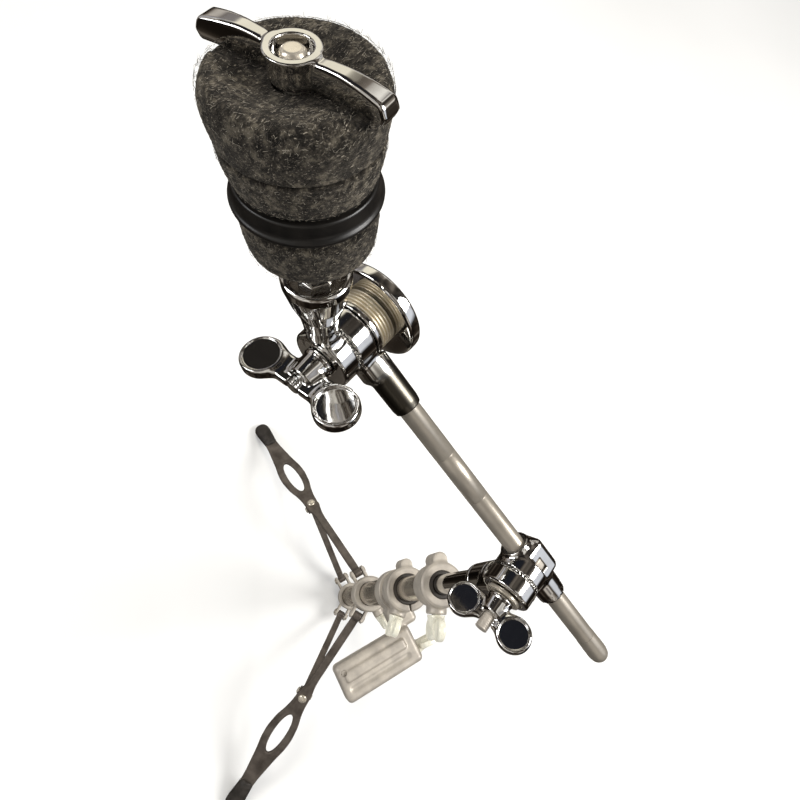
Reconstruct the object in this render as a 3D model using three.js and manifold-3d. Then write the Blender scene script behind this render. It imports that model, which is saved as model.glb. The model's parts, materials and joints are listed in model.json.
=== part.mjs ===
// Cymbal boom stand: a double-braced tripod, three telescoping tubes, a tilting boom
// and a ratchet cymbal tilter with its felts, seat sleeve and wing nut.
// Millimetres, +Z up. The frame's origin is on the floor, at the centre of the stand's
// bounding box; the tube axis stands at (TUBE_X, TUBE_Y).

import * as THREE from 'three';
import { mergeVertices } from 'three/addons/utils/BufferGeometryUtils.js';
import Module from 'manifold-3d';

const wasm = await Module();
wasm.setup();

// ---------------------------------------------------------------- driving dimensions

const TUBE_X = -24.846;           // tube axis in the frame, from the bounding box centre
const TUBE_Y = -45.006;
const GAP = 0.3;                  // running gap between touching pieces
const ROUND = 20;                 // sides of a large round piece
const MEDIUM_ROUND = 14;          // sides of a hub, lobe or boss
const SMALL_ROUND = 8;            // sides of a pin or screw hole

const BASE_TUBE_R = 12.7;         // 1 in base tube
const BASE_TUBE_BORE = 11.2;
const BASE_TUBE_BOTTOM = 12;
const BASE_TUBE_TOP = 352;
const MIDDLE_TUBE_R = 9.5;        // 3/4 in middle tube
const MIDDLE_TUBE_BORE = 8.3;
const MIDDLE_TUBE_BOTTOM = 130;
const MIDDLE_TUBE_TOP = 453;
const UPPER_TUBE_R = 6.35;        // 1/2 in upper tube
const UPPER_TUBE_BORE = 5.1;
const UPPER_TUBE_BOTTOM = 262;
const UPPER_TUBE_TOP = 574;

const BRACKET_Z = 25;             // height of the brace pivots on the lower bracket
const COLLAR_Z = 180;             // height of the leg pivots on the sliding collar
const PIVOT_R = 27;               // pivots' distance from the tube axis
const LINK = 126;                 // pivot to pivot, on the leg and on the brace
const FOOT_R = 276;               // foot's distance from the tube axis
const FIRST_LEG_ANGLE = -19.4;    // degrees from the boom's direction
const LEG_OFFSET = 7;             // leg bar's centreline above its brace pivot
const LEG_THICK = 3.2;
const BRACE_WIDTH = 9;
const PIN_R = 2.4;
const KNUCKLE_R = 5;
const KNUCKLE_HALF = 4.3;         // half width of a knuckle, between two ears
const EAR_Y = 6.6;                // middle of an ear, from the leg's middle plane
const EAR_THICK = 3;
const EAR_HEIGHT = 11;
const BRACKET_PIN_HALF = 8.4;     // half lengths of the pins between their heads
const KNEE_PIN_HALF = 8;
const COLLAR_PIN_HALF = 4.7;
const RIVET_SHANK_R = 2.6;        // rivet on the leg's neck
const EYE_FROM_KNEE = 58;         // middle of the eye in the leg, beyond the knee
const BOSS_REACH = 4.5;           // bolt bosses stand this far out of their clamps

const BASE_CLAMP_Z = 364;
const MIDDLE_CLAMP_Z = 465;
const CLAMP_H = 26;
const BASE_BOLT_ANGLE = 112;      // degrees about the tube, of the clamps' wing bolts
const MIDDLE_BOLT_ANGLE = 126;
const COLLAR_BOLT_ANGLE = 160.6;
const BARREL_ANGLE = -48;         // of the clamps' hinge barrels
const BOLT_R = 3;                 // M6 wing bolts

const BOOM_Z = 600;               // height of the boom's tilt axis
const BOOM_ELEVATION = 26.3;      // degrees above level
const BOOM_R = 4.75;              // 3/8 in boom rod
const BOOM_Y = -8.4;              // boom axis, sideways from the tube axis
const LINER_R = 6;                // liner between the boom and its clamp
const EYE_R = 8.6;                // eye of the boom's eye bolt
const BOOM_REAR = -73;            // ends of the boom rod, from the tilt axis
const BOOM_FRONT = 120;
const TILT_FACE_Y = 2;            // where the two toothed discs of the boom tilter meet
const TILT_DISC_R = 12;

const HEAD_X = 137;               // cymbal tilter's pivot, along the boom from the tilt axis
const ROD_ELEVATION = 78.6;       // degrees above level of the cymbal rod
const ROD_X = 1.8;                // cymbal rod axis, from the tilter's pivot
const ROD_Y = 4.6;                // and sideways from the tube axis
const ROD_R = 3;                  // M6 cymbal rod
const DRUM_BACK = -9.5;           // back of the tilter's drum, along its pivot
const DRUM_R = 13;                // drum and toothed discs of the cymbal tilter
const SOCKET_END = 98;            // end of its boom socket, from the tilt axis
const RIBS = 5;                   // of the friction ring
const RIB_PITCH = 1.5;
const RIB_R = 12.8;
const END_DISC_R = 21;
const ROD_FOOT = 22;              // lower end of the cymbal rod in the neck
const SEAT_Z = 46;                // top of the tilter's neck, from its pivot
const FELT_BOTTOM = 60;           // heights on the cymbal rod, from the tilter's pivot
const SLEEVE_LIP = 77;
const UPPER_FELT_BOTTOM = 84;
const FELT_TOP = 107.4;
const FELT_R = 21;
const LOWER_FELT_R = 18.6;
const SLEEVE_R = 19.9;
const ROD_TIP = 114;
const FELT_SPLIT = 96;            // where the two upper felts meet
const BOOM_WING_TURN = 26;        // degrees, of the boom tilter's wing nut about its bolt
const TILTER_WING_TURN = 20;      // degrees, of the cymbal tilter's wing nut about its bolt
const WING_TURN = 6;              // degrees, of the cymbal wing nut about its rod

const ACCESSORY_Z = 329;          // clamp for an accessory, on the base tube
const ACCESSORY_ANGLE = 68.3;
const SCREW_Y = 50;               // its wing screw, sideways from the tube axis

const DEGREE = Math.PI / 180;

// ---------------------------------------------------------------- materials

const metal = (color, roughness) =>
  new THREE.MeshStandardMaterial({ color, roughness, metalness: 1 });
const plain = (color, roughness) =>
  new THREE.MeshStandardMaterial({ color, roughness, metalness: 0 });

const CHROME = metal(0xd8d6d2, 0.08);
const SATIN_CHROME = metal(0xb9b0a2, 0.28);
const LEG_STEEL = metal(0x6b5b4c, 0.34);
const RIVET_STEEL = metal(0xd9cdb4, 0.3);
const BRASS = metal(0xb99a63, 0.35);
const FELT = plain(0x3a3836, 1);
const BLACK_PLASTIC = plain(0x0d0d0e, 0.18);
const RUBBER = plain(0x17130f, 0.7);
const NYLON = plain(0x26221e, 0.5);

// ---------------------------------------------------------------- shape helpers

// A closed geometry as a solid that can be joined and cut.
function solid(geometry) {
  const bare = new THREE.BufferGeometry();
  bare.setAttribute('position', geometry.getAttribute('position'));
  if (geometry.index) bare.setIndex(geometry.index);
  const merged = mergeVertices(bare, 1e-4);
  return new wasm.Manifold(new wasm.Mesh({
    numProp: 3,
    vertProperties: new Float32Array(merged.getAttribute('position').array),
    triVerts: new Uint32Array(merged.index.array),
  }));
}

function geometryOf(body) {
  const mesh = body.getMesh();
  const geometry = new THREE.BufferGeometry();
  geometry.setAttribute('position', new THREE.BufferAttribute(mesh.vertProperties, 3));
  geometry.setIndex(new THREE.BufferAttribute(mesh.triVerts, 1));
  geometry.computeVertexNormals();
  return geometry;
}

function block(x, y, z) {
  return solid(new THREE.BoxGeometry(x, y, z));
}

// A solid of revolution about Z from an outline of [radius, height] points.
function turned(outline, sides = ROUND) {
  const points = outline.map(([radius, height]) => new THREE.Vector2(radius, height));
  return solid(new THREE.LatheGeometry(points, sides).rotateX(Math.PI / 2));
}

// A cylinder from z0 to z1, with a chamfer at both ends if one is asked for.
function rod(radius, z0, z1, sides = ROUND, chamfer = 0) {
  const lower = chamfer ? [[radius - chamfer, z0], [radius, z0 + chamfer]] : [[radius, z0]];
  const upper = chamfer ? [[radius, z1 - chamfer], [radius - chamfer, z1]] : [[radius, z1]];
  return turned([[0, z0], ...lower, ...upper, [0, z1]], sides);
}

// A tube from z0 to z1.
function pipe(radius, bore, z0, z1, sides = ROUND, chamfer = 0) {
  const lower = chamfer ? [[radius - chamfer, z0], [radius, z0 + chamfer]] : [[radius, z0]];
  const upper = chamfer ? [[radius, z1 - chamfer], [radius - chamfer, z1]] : [[radius, z1]];
  return turned([[bore, z0], ...lower, ...upper, [bore, z1], [bore, z0]], sides);
}

// A plain cylinder used to cut a hole.
function hole(radius, z0, z1, sides = ROUND) {
  return turned([[0, z0], [radius, z0], [radius, z1], [0, z1]], sides);
}

const alongX = (body) => body.rotate([0, 90, 0]);
const alongY = (body) => body.rotate([-90, 0, 0]);

// A flat outline in X and Y, made thick from z0 to z1.
function plate(shape, z0, z1, curveSegments = 8) {
  const geometry = new THREE.ExtrudeGeometry(shape, {
    depth: z1 - z0, bevelEnabled: false, curveSegments,
  });
  return solid(geometry).translate([0, 0, z0]);
}

// A rectangle with round corners.
function roundedRectangle(width, height, corner) {
  const w = width / 2;
  const h = height / 2;
  const shape = new THREE.Shape();
  shape.moveTo(-w + corner, -h);
  shape.lineTo(w - corner, -h);
  shape.absarc(w - corner, -h + corner, corner, -Math.PI / 2, 0);
  shape.lineTo(w, h - corner);
  shape.absarc(w - corner, h - corner, corner, 0, Math.PI / 2);
  shape.lineTo(-w + corner, h);
  shape.absarc(-w + corner, h - corner, corner, Math.PI / 2, Math.PI);
  shape.lineTo(-w, -h + corner);
  shape.absarc(-w + corner, -h + corner, corner, Math.PI, Math.PI * 1.5);
  return shape;
}

// One named sub-part.
function part(name, body, material) {
  const mesh = new THREE.Mesh(geometryOf(body), material);
  mesh.name = name;
  return mesh;
}

function groupOf(...children) {
  const group = new THREE.Group();
  group.add(...children);
  return group;
}

// ---------------------------------------------------------------- wing bolts and nuts

// Two round lobes on a web, standing on a hub along +Z, with the lobes along X.
function wings(span, lobeR, z0, thick) {
  const centre = span / 2 - lobeR;
  const lobe = (side) => alongY(rod(lobeR, -thick / 2, thick / 2, MEDIUM_ROUND))
    .translate([side * centre, 0, z0 + lobeR + 1]);
  const web = block(centre * 2, thick * 0.8, lobeR * 1.1).translate([0, 0, z0 + lobeR * 0.7]);
  return lobe(-1).add(lobe(1)).add(web);
}

// A wing screw: a threaded shank from z = 0 down to -shank, a hub and two lobes above.
function wingScrew(span, lobeR, shankR, shank, hubR, hubH, thick) {
  const stem = rod(shankR, -shank, 1, SMALL_ROUND);
  const hub = turned([[0, 0], [hubR, 0], [hubR * 0.8, hubH], [0, hubH]], MEDIUM_ROUND);
  return stem.add(hub).add(wings(span, lobeR, 0.4, thick));
}

// A wing nut with a through hole.
function wingNut(span, lobeR, holeR, hubR, hubH, thick) {
  const hub = turned([[0, 0], [hubR, 0], [hubR * 0.8, hubH], [0, hubH]], MEDIUM_ROUND);
  return hub.add(wings(span, lobeR, hubH * 0.15, thick))
    .subtract(hole(holeR, -1, hubH + lobeR * 2.5, SMALL_ROUND));
}

// ---------------------------------------------------------------- base tube and bracket

function basePlug() {
  const cap = rod(BASE_TUBE_R, BASE_TUBE_BOTTOM - 5, BASE_TUBE_BOTTOM - GAP);
  return cap.add(rod(BASE_TUBE_BORE - GAP, BASE_TUBE_BOTTOM - 2, BASE_TUBE_BOTTOM + 14));
}

// A pair of ears either side of a pivot, on each of three sides of a ring. The collar's ears
// aren't bored: they carry rivet heads outside, and the leg's pin ends short of them inside.
function threeClevises(ring, z, bored) {
  let body = ring;
  for (let leg = 0; leg < 3; leg += 1) {
    const angle = FIRST_LEG_ANGLE + leg * 120;
    for (const side of [-1, 1]) {
      const reach = PIVOT_R + KNUCKLE_R - BASE_TUBE_R - 2;
      const ear = block(reach, EAR_THICK, EAR_HEIGHT)
        .translate([BASE_TUBE_R + 2 + reach / 2, side * EAR_Y, z]);
      body = body.add(ear.rotate([0, 0, angle]));
    }
    if (!bored) {
      for (const side of [-1, 1]) {
        const head = rod(4, 0, 1.6, MEDIUM_ROUND).rotate([-90 * side, 0, 0]);
        body = body.add(head.translate([PIVOT_R, side * 8, z]).rotate([0, 0, angle]));
      }
    }
  }
  body = body.subtract(hole(BASE_TUBE_R + GAP, z - 40, z + 40));
  for (let leg = 0; bored && leg < 3; leg += 1) {
    const bore = alongY(hole(PIN_R + GAP, -12, 12, SMALL_ROUND)).translate([PIVOT_R, 0, z]);
    body = body.subtract(bore.rotate([0, 0, FIRST_LEG_ANGLE + leg * 120]));
  }
  return body;
}

function legBracket() {
  const ring = rod(BASE_TUBE_R + 4.3, BRACKET_Z - 8, BRACKET_Z + 8);
  return threeClevises(ring, BRACKET_Z, true);
}

function legCollar() {
  const ring = rod(BASE_TUBE_R + 6.3, COLLAR_Z - 13, COLLAR_Z + 13);
  const boss = alongX(rod(6.5, 0, BASE_TUBE_R + 13, MEDIUM_ROUND)).translate([0, 0, COLLAR_Z])
    .rotate([0, 0, COLLAR_BOLT_ANGLE]);
  const body = threeClevises(ring.add(boss), COLLAR_Z, false);
  const thread = alongX(hole(BOLT_R + GAP, 0, BASE_TUBE_R + 20, SMALL_ROUND)).translate([0, 0, COLLAR_Z]);
  return body.subtract(thread.rotate([0, 0, COLLAR_BOLT_ANGLE]));
}

// A domed pivot pin along Y.
function pivotPin(halfLength) {
  const head = PIN_R + 1.6;
  const end = halfLength + 1.6;
  return alongY(turned([[0, -end], [head * 0.7, -end], [head, -halfLength - 0.4], [head, -halfLength],
    [PIN_R, -halfLength], [PIN_R, halfLength], [head, halfLength], [head, halfLength + 0.4],
    [head * 0.7, end], [0, end]], SMALL_ROUND));
}

// ---------------------------------------------------------------- legs

const linkAngle = Math.acos((COLLAR_Z - BRACKET_Z) / (2 * LINK));      // links' lean from vertical
const knee = {
  r: PIVOT_R + LINK * Math.sin(linkAngle),
  z: BRACKET_Z + LINK * Math.cos(linkAngle),
};
// The leg bar's centreline starts at the collar pivot and passes LEG_OFFSET above the knee.
const legLean = linkAngle + Math.asin(LEG_OFFSET / LINK);
const LEG_LENGTH = (FOOT_R - PIVOT_R) / Math.sin(legLean);
const kneeAlong = Math.sqrt(LINK * LINK - LEG_OFFSET * LEG_OFFSET);

// Leg outline in plan: u along the leg from the collar pivot, v across it.
function legOutline() {
  const shape = new THREE.Shape();
  const upper = 4.7;
  const neck = 8.2;
  const belly = 17;
  const eyeMiddle = kneeAlong + EYE_FROM_KNEE;
  shape.moveTo(6, -4.3);
  shape.lineTo(14, -upper);
  shape.lineTo(kneeAlong - 30, -upper);
  shape.bezierCurveTo(kneeAlong - 14, -upper, kneeAlong - 12, -neck, kneeAlong, -neck);
  shape.bezierCurveTo(kneeAlong + 18, -neck, kneeAlong + 30, -belly, eyeMiddle, -belly);
  shape.bezierCurveTo(eyeMiddle + 34, -belly, LEG_LENGTH - 50, -8, LEG_LENGTH - 8, -7);
  shape.lineTo(LEG_LENGTH - 8, 7);
  shape.bezierCurveTo(LEG_LENGTH - 50, 8, eyeMiddle + 34, belly, eyeMiddle, belly);
  shape.bezierCurveTo(kneeAlong + 30, belly, kneeAlong + 18, neck, kneeAlong, neck);
  shape.bezierCurveTo(kneeAlong - 12, neck, kneeAlong - 14, upper, kneeAlong - 30, upper);
  shape.lineTo(14, upper);
  shape.lineTo(6, 4.3);
  const eye = new THREE.Path();
  eye.absellipse(eyeMiddle, 0, 31, 7.5, 0, Math.PI * 2, true);
  shape.holes.push(eye);
  return shape;
}

// Leg bar along +X in its own frame; its faces look along Z; the collar pivot is at the origin.
function legBar() {
  const bar = plate(legOutline(), -LEG_THICK / 2, LEG_THICK / 2, 5);
  const knuckle = alongY(rod(KNUCKLE_R, -KNUCKLE_HALF, KNUCKLE_HALF, MEDIUM_ROUND));
  let body = bar.add(knuckle).add(block(12, 2 * KNUCKLE_HALF, LEG_THICK).translate([6, 0, 0]));
  for (const side of [-1, 1]) {
    const lug = block(11, 2.6, LEG_OFFSET + 4).translate([kneeAlong, side * 6.4, -(LEG_OFFSET + 4) / 2]);
    body = body.add(lug);
  }
  body = body.subtract(alongY(hole(PIN_R + GAP, -12, 12, SMALL_ROUND)));
  body = body.subtract(alongY(hole(PIN_R + GAP, -12, 12, SMALL_ROUND))
    .translate([kneeAlong, 0, -LEG_OFFSET]));
  return body.subtract(hole(RIVET_SHANK_R + GAP, -6, 6, SMALL_ROUND).translate([kneeAlong, 0, 0]));
}

// The domed rivet on the leg's neck.
function neckRivet() {
  const top = LEG_THICK / 2 + GAP;
  return turned([[0, -top], [RIVET_SHANK_R, -top], [RIVET_SHANK_R, top], [5.4, top],
    [5.2, top + 1.2], [3.6, top + 2.4], [0, top + 2.9]], MEDIUM_ROUND).translate([kneeAlong, 0, 0]);
}

// Brace along +X from the bracket pivot at its origin to the knee pivot.
function brace() {
  let body = block(LINK, BRACE_WIDTH - 0.6, 2.6).translate([LINK / 2, 0, 0]);
  for (const x of [0, LINK]) {
    const knuckle = alongY(rod(KNUCKLE_R - 0.3, -KNUCKLE_HALF, KNUCKLE_HALF, MEDIUM_ROUND));
    body = body.add(knuckle.translate([x, 0, 0]));
  }
  for (const x of [0, LINK]) {
    body = body.subtract(alongY(hole(PIN_R + GAP, -12, 12, SMALL_ROUND)).translate([x, 0, 0]));
  }
  return body;
}

// Rubber boot on the leg's end, cut flat where it stands on the floor.
function foot(legFrame) {
  const start = LEG_LENGTH - 40;
  const end = LEG_LENGTH + 7;
  const boot = alongX(turned([[0, start], [6.5, start], [9, start + 5], [11, end - 14], [9.4, end - 3],
    [5, end], [0, end]], MEDIUM_ROUND)).scale([1, 1, 0.86]);
  const slot = block(60, 15.2, LEG_THICK + 2 * GAP).translate([LEG_LENGTH - 38 + GAP, 0, 0]);
  const socket = slot.add(plate(legOutline(), -LEG_THICK / 2 - GAP, LEG_THICK / 2 + GAP, 5));
  const body = boot.subtract(socket.translate([GAP, 0, 0])).transform(legFrame);
  return body.subtract(block(900, 900, 100).translate([0, 0, -50]));
}

// ---------------------------------------------------------------- tube clamps

// Cast clamp on a tube's upper end: its lower bore holds the tube, its upper bore the bushing.
// The origin is at the clamp's middle; step is the height where the bore changes.
function tubeClamp(outer, tubeR, step, boltAngle) {
  const h = CLAMP_H / 2;
  const barrel = rod(5.2, -h + 2, h - 2, MEDIUM_ROUND).translate([outer + 2, 0, 0])
    .rotate([0, 0, BARREL_ANGLE]);
  const boss = alongX(rod(7, 0, outer + BOSS_REACH, MEDIUM_ROUND)).rotate([0, 0, boltAngle]);
  const thread = alongX(hole(BOLT_R + GAP, 0, outer + 20, SMALL_ROUND)).rotate([0, 0, boltAngle]);
  return rod(outer, -h, h, ROUND).add(barrel).add(boss).subtract(thread)
    .subtract(hole(tubeR + GAP, -h - 1, step + GAP))
    .subtract(hole(tubeR - 0.4, -h - 1, h + 1));
}

// Nylon bushing: a collar in the clamp's upper bore and a thin skirt inside the lower tube.
function tubeBushing(tubeR, tubeBore, innerR, step, top) {
  const collar = pipe(tubeR - 0.7, innerR + GAP, step + 2 * GAP, top - 0.6, MEDIUM_ROUND);
  const skirt = pipe(tubeBore - GAP, innerR + GAP, step - 20, step + 1, MEDIUM_ROUND);
  return collar.add(skirt);
}

// ---------------------------------------------------------------- boom tilter

// Socket on the upper tube with the fixed toothed disc; origin on the tilt axis.
function tilterSocket() {
  const tubeTop = UPPER_TUBE_TOP - BOOM_Z;
  const sleeve = rod(9, tubeTop - 24, tubeTop + 5, MEDIUM_ROUND);
  const disc = alongY(rod(TILT_DISC_R, TILT_FACE_Y + GAP, TILT_FACE_Y + 9));
  const neck = block(13, 8.6, 28).translate([0, TILT_FACE_Y + GAP + 4.3, -14]);
  const clear = alongY(hole(TILT_DISC_R + 1.2, -30, TILT_FACE_Y + GAP));
  return sleeve.add(disc).add(neck).subtract(clear)
    .subtract(hole(UPPER_TUBE_R + GAP, -60, tubeTop + GAP))
    .subtract(alongY(hole(BOLT_R + GAP, -30, 30, SMALL_ROUND)));
}

// Clamp that holds the boom: toothed disc, square cheek and a nose round the boom.
function boomClamp() {
  const back = BOOM_Y - 9;
  const disc = alongY(rod(TILT_DISC_R, TILT_FACE_Y - 8, TILT_FACE_Y));
  const cheek = alongY(plate(roundedRectangle(20, 18, 5), back, TILT_FACE_Y - 6, 4));
  const noseOutline = [[0, -24], [6.7, -24], [7.2, -10], [7.2, 11], [6.8, 13], [0, 13]];
  const nose = alongX(turned(noseOutline, MEDIUM_ROUND)).translate([0, BOOM_Y, 0]);
  const eyeRoom = alongX(hole(EYE_R + 0.4, -3.4, 3.4, MEDIUM_ROUND)).translate([0, BOOM_Y, 0]);
  return disc.add(cheek).add(nose).subtract(eyeRoom)
    .subtract(alongX(hole(LINER_R + GAP, -60, 60, MEDIUM_ROUND)).translate([0, BOOM_Y, 0]))
    .subtract(alongY(hole(BOLT_R + GAP, BOOM_Y, 30, SMALL_ROUND)));
}

// Split nylon liner between the clamp and the boom; the boom slides in it and it can roll.
function boomLiner() {
  return alongX(pipe(LINER_R, BOOM_R + GAP, -23, 12, MEDIUM_ROUND)).translate([0, BOOM_Y, 0]);
}

// Eye bolt: the boom passes through its eye and its shank carries the wing nut.
function boomEyeBolt() {
  const eye = alongX(rod(EYE_R, -3, 3, MEDIUM_ROUND)).translate([0, BOOM_Y, 0]);
  const shank = alongY(rod(BOLT_R, BOOM_Y + LINER_R + 1, TILT_FACE_Y + 28, SMALL_ROUND));
  return eye.add(shank)
    .subtract(alongX(hole(LINER_R + GAP, -8, 8, MEDIUM_ROUND)).translate([0, BOOM_Y, 0]));
}

function boomRod() {
  return alongX(rod(BOOM_R, BOOM_REAR, BOOM_FRONT, MEDIUM_ROUND)).translate([0, BOOM_Y, 0]);
}

// Pressed metal cap on the boom's rear end.
function boomEndCap() {
  const start = BOOM_REAR - 4;
  const outline = [[0, start], [3.2, start], [5, start + 1.8], [5.6, start + 4.5],
    [5.6, start + 17], [5.3, start + 19], [0, start + 19]];
  const room = hole(BOOM_R + GAP, BOOM_REAR - GAP, 0, MEDIUM_ROUND);
  return alongX(turned(outline, MEDIUM_ROUND).subtract(room)).translate([0, BOOM_Y, 0]);
}

// ---------------------------------------------------------------- cymbal tilter

// Half that holds the boom's front end; origin on the tilter's pivot.
function cymbalTilterBase() {
  const drum = alongY(rod(DRUM_R, DRUM_BACK, 0));
  const socket = alongX(rod(6.4, SOCKET_END - HEAD_X, 1 - DRUM_R, MEDIUM_ROUND))
    .translate([0, BOOM_Y, 0])
    .subtract(alongY(hole(END_DISC_R - 7, -40, DRUM_BACK)));
  const lug = block(16, -DRUM_BACK - 1, 11).translate([-14, DRUM_BACK / 2, 0]);
  const boreEnd = BOOM_FRONT - HEAD_X + GAP;
  return drum.add(socket).add(lug)
    .subtract(alongX(hole(BOOM_R + GAP, -60, boreEnd, MEDIUM_ROUND)).translate([0, BOOM_Y, 0]))
    .subtract(alongY(hole(BOLT_R + GAP, -30, 30, SMALL_ROUND)));
}

// Half that carries the cymbal rod: toothed disc, tapering neck and threaded seat.
function cymbalTilterHead() {
  const disc = alongY(rod(DRUM_R, GAP, 8.6));
  const neck = turned([[0, 4], [6, 4], [6.3, 14], [7.2, 26], [11.2, SEAT_Z - 5], [12, SEAT_Z - 2],
    [11, SEAT_Z], [0, SEAT_Z]], MEDIUM_ROUND).translate([ROD_X, ROD_Y, 0]);
  return disc.add(neck)
    .subtract(alongY(hole(14.5, -30, GAP)))
    .subtract(alongY(hole(14.5, 8.6, 30)))
    .subtract(hole(ROD_R + GAP, ROD_FOOT - GAP, 80, SMALL_ROUND).translate([ROD_X, ROD_Y, 0]))
    .subtract(alongY(hole(BOLT_R + GAP, -30, 30, SMALL_ROUND)));
}

// Ribbed friction ring: fine ribs round it.
function frictionRing(y0) {
  const outline = [[BOLT_R + GAP, y0], [11.6, y0]];
  for (let rib = 0; rib < RIBS; rib += 1) {
    const start = y0 + rib * RIB_PITCH;
    outline.push([RIB_R, start + 0.75], [11.8, start + RIB_PITCH]);
  }
  const y1 = y0 + RIBS * RIB_PITCH;
  outline.push([BOLT_R + GAP, y1], [BOLT_R + GAP, y0]);
  return alongY(turned(outline, ROUND));
}

// Pivot bolt of the cymbal tilter, along Y: hexagon head behind the end disc.
function tilterBolt(headFace) {
  const head = rod(6.4, headFace - 4, headFace, 6);
  return alongY(head.add(rod(BOLT_R, headFace - 1, 24, SMALL_ROUND)));
}

// ---------------------------------------------------------------- cymbal rod and its parts

function felt(lower, upper, z0, z1) {
  const c = 2.2;
  const bore = ROD_R + 2.2;
  return turned([[bore, z0], [lower - c, z0], [lower - 0.5, z0 + 0.9], [lower, z0 + c],
    [upper, z1 - c], [upper - 0.5, z1 - 0.9], [upper - c, z1], [bore, z1], [bore, z0]], ROUND);
}

// Seat sleeve: a flanged cup with a tube up through the felts.
function seatSleeve() {
  const bore = ROD_R + GAP;
  const tube = ROD_R + 1.8;
  const cupTop = UPPER_FELT_BOTTOM - GAP;
  const tubeTop = FELT_TOP - 2;
  return turned([[bore, SLEEVE_LIP], [SLEEVE_R - 1.6, SLEEVE_LIP], [SLEEVE_R, SLEEVE_LIP + 1.2],
    [SLEEVE_R, SLEEVE_LIP + 2.4], [SLEEVE_R - 1.4, SLEEVE_LIP + 4.6], [SLEEVE_R - 2, cupTop],
    [tube, cupTop], [tube, tubeTop], [bore, tubeTop], [bore, SLEEVE_LIP]], ROUND);
}

// Wing nut on the cymbal rod: round hub with a counterbore and a bowed bar of two wings.
function cymbalWingNut() {
  const z0 = FELT_TOP + GAP;
  const halfSpan = 24.6;
  const tip = 4.6;
  const top = 6.6;
  const shape = new THREE.Shape();
  shape.moveTo(-halfSpan, 0.2);
  shape.quadraticCurveTo(-14, 1.6, -6, 0.2);
  shape.lineTo(6, 0.2);
  shape.quadraticCurveTo(14, 1.6, halfSpan, 0.2);
  shape.lineTo(halfSpan, tip);
  shape.quadraticCurveTo(14, top + 0.8, 6, top - 0.8);
  shape.lineTo(-6, top - 0.8);
  shape.quadraticCurveTo(-14, top + 0.8, -halfSpan, tip);
  const bar = alongY(plate(shape, -2.1, 2.1, 7)).rotate([0, 180, 0]).translate([0, 0, z0]);
  const hub = turned([[0, z0], [5.6, z0], [6, z0 + 0.6], [6, z0 + top - 0.4], [5.6, z0 + top],
    [0, z0 + top]], MEDIUM_ROUND);
  return bar.add(hub).subtract(hole(ROD_R + GAP, z0 - 5, z0 + 20, SMALL_ROUND))
    .subtract(hole(4.6, z0 + 3.4, z0 + 20, MEDIUM_ROUND));
}

// ---------------------------------------------------------------- accessory clamp

// Long rounded block beside the base tube, with a jaw round the tube; origin on the tube axis.
function accessoryClamp() {
  const jaw = rod(BASE_TUBE_R + 5.5, -11, 11);
  const neck = block(24, 20.5, 20).translate([7, 20.25, 0]);
  const body = plate(roundedRectangle(72, 32, 7), -12, 12, 4).translate([42, 44, 0]);
  const ridge = plate(roundedRectangle(58, 9, 4), 11, 14.5, 4).translate([44, 40, 0]);
  const thread = alongX(hole(BOLT_R + GAP, -10, 30, SMALL_ROUND)).translate([0, SCREW_Y, 0]);
  return jaw.add(neck).add(body).add(ridge).subtract(thread)
    .subtract(hole(BASE_TUBE_R + GAP, -20, 20));
}

// ---------------------------------------------------------------- assembly

// A wing screw whose axis points out along a direction in a tube's horizontal plane.
function radialScrew(name, angle, distance, height, screw) {
  const mesh = part(name, alongX(screw), SATIN_CHROME);
  mesh.position.set(distance, 0, 0);
  const arm = groupOf(mesh);
  arm.rotation.z = angle * DEGREE;
  arm.position.z = height;
  return arm;
}

function legGroup(index) {
  const number = index + 1;
  const leg = groupOf(
    part(`leg_${number}`, legBar(), LEG_STEEL),
    part(`neck_rivet_${number}`, neckRivet(), RIVET_STEEL),
  );
  leg.position.set(PIVOT_R, 0, COLLAR_Z);
  leg.rotation.y = Math.PI / 2 - legLean;
  leg.updateMatrix();

  const link = part(`brace_${number}`, brace(), LEG_STEEL);
  link.position.set(PIVOT_R, 0, BRACKET_Z);
  link.rotation.y = linkAngle - Math.PI / 2;

  const collarPin = part(`collar_pin_${number}`,
    alongY(rod(PIN_R, -COLLAR_PIN_HALF, COLLAR_PIN_HALF, SMALL_ROUND)), RIVET_STEEL);
  collarPin.position.set(PIVOT_R, 0, COLLAR_Z);
  const bracketPin = part(`bracket_pin_${number}`, pivotPin(BRACKET_PIN_HALF), RIVET_STEEL);
  bracketPin.position.set(PIVOT_R, 0, BRACKET_Z);
  const kneePin = part(`knee_pin_${number}`, pivotPin(KNEE_PIN_HALF), RIVET_STEEL);
  kneePin.position.set(knee.r, 0, knee.z);

  const boot = part(`foot_${number}`, foot(leg.matrix.elements), RUBBER);
  const group = groupOf(leg, link, collarPin, bracketPin, kneePin, boot);
  group.rotation.z = (FIRST_LEG_ANGLE + 120 * index) * DEGREE;
  return group;
}

function baseGroup() {
  const collarScrewAt = BASE_TUBE_R + 13 + GAP;
  return groupOf(
    part('base_tube', pipe(BASE_TUBE_R, BASE_TUBE_BORE, BASE_TUBE_BOTTOM, BASE_TUBE_TOP), CHROME),
    part('base_plug', basePlug(), RUBBER),
    part('leg_bracket', legBracket(), SATIN_CHROME),
    part('leg_collar', legCollar(), SATIN_CHROME),
    radialScrew('collar_wing_bolt', COLLAR_BOLT_ANGLE, collarScrewAt, COLLAR_Z,
      wingScrew(36, 8, BOLT_R, 12, 6.5, 8, 5)),
    legGroup(0),
    legGroup(1),
    legGroup(2),
  );
}

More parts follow.
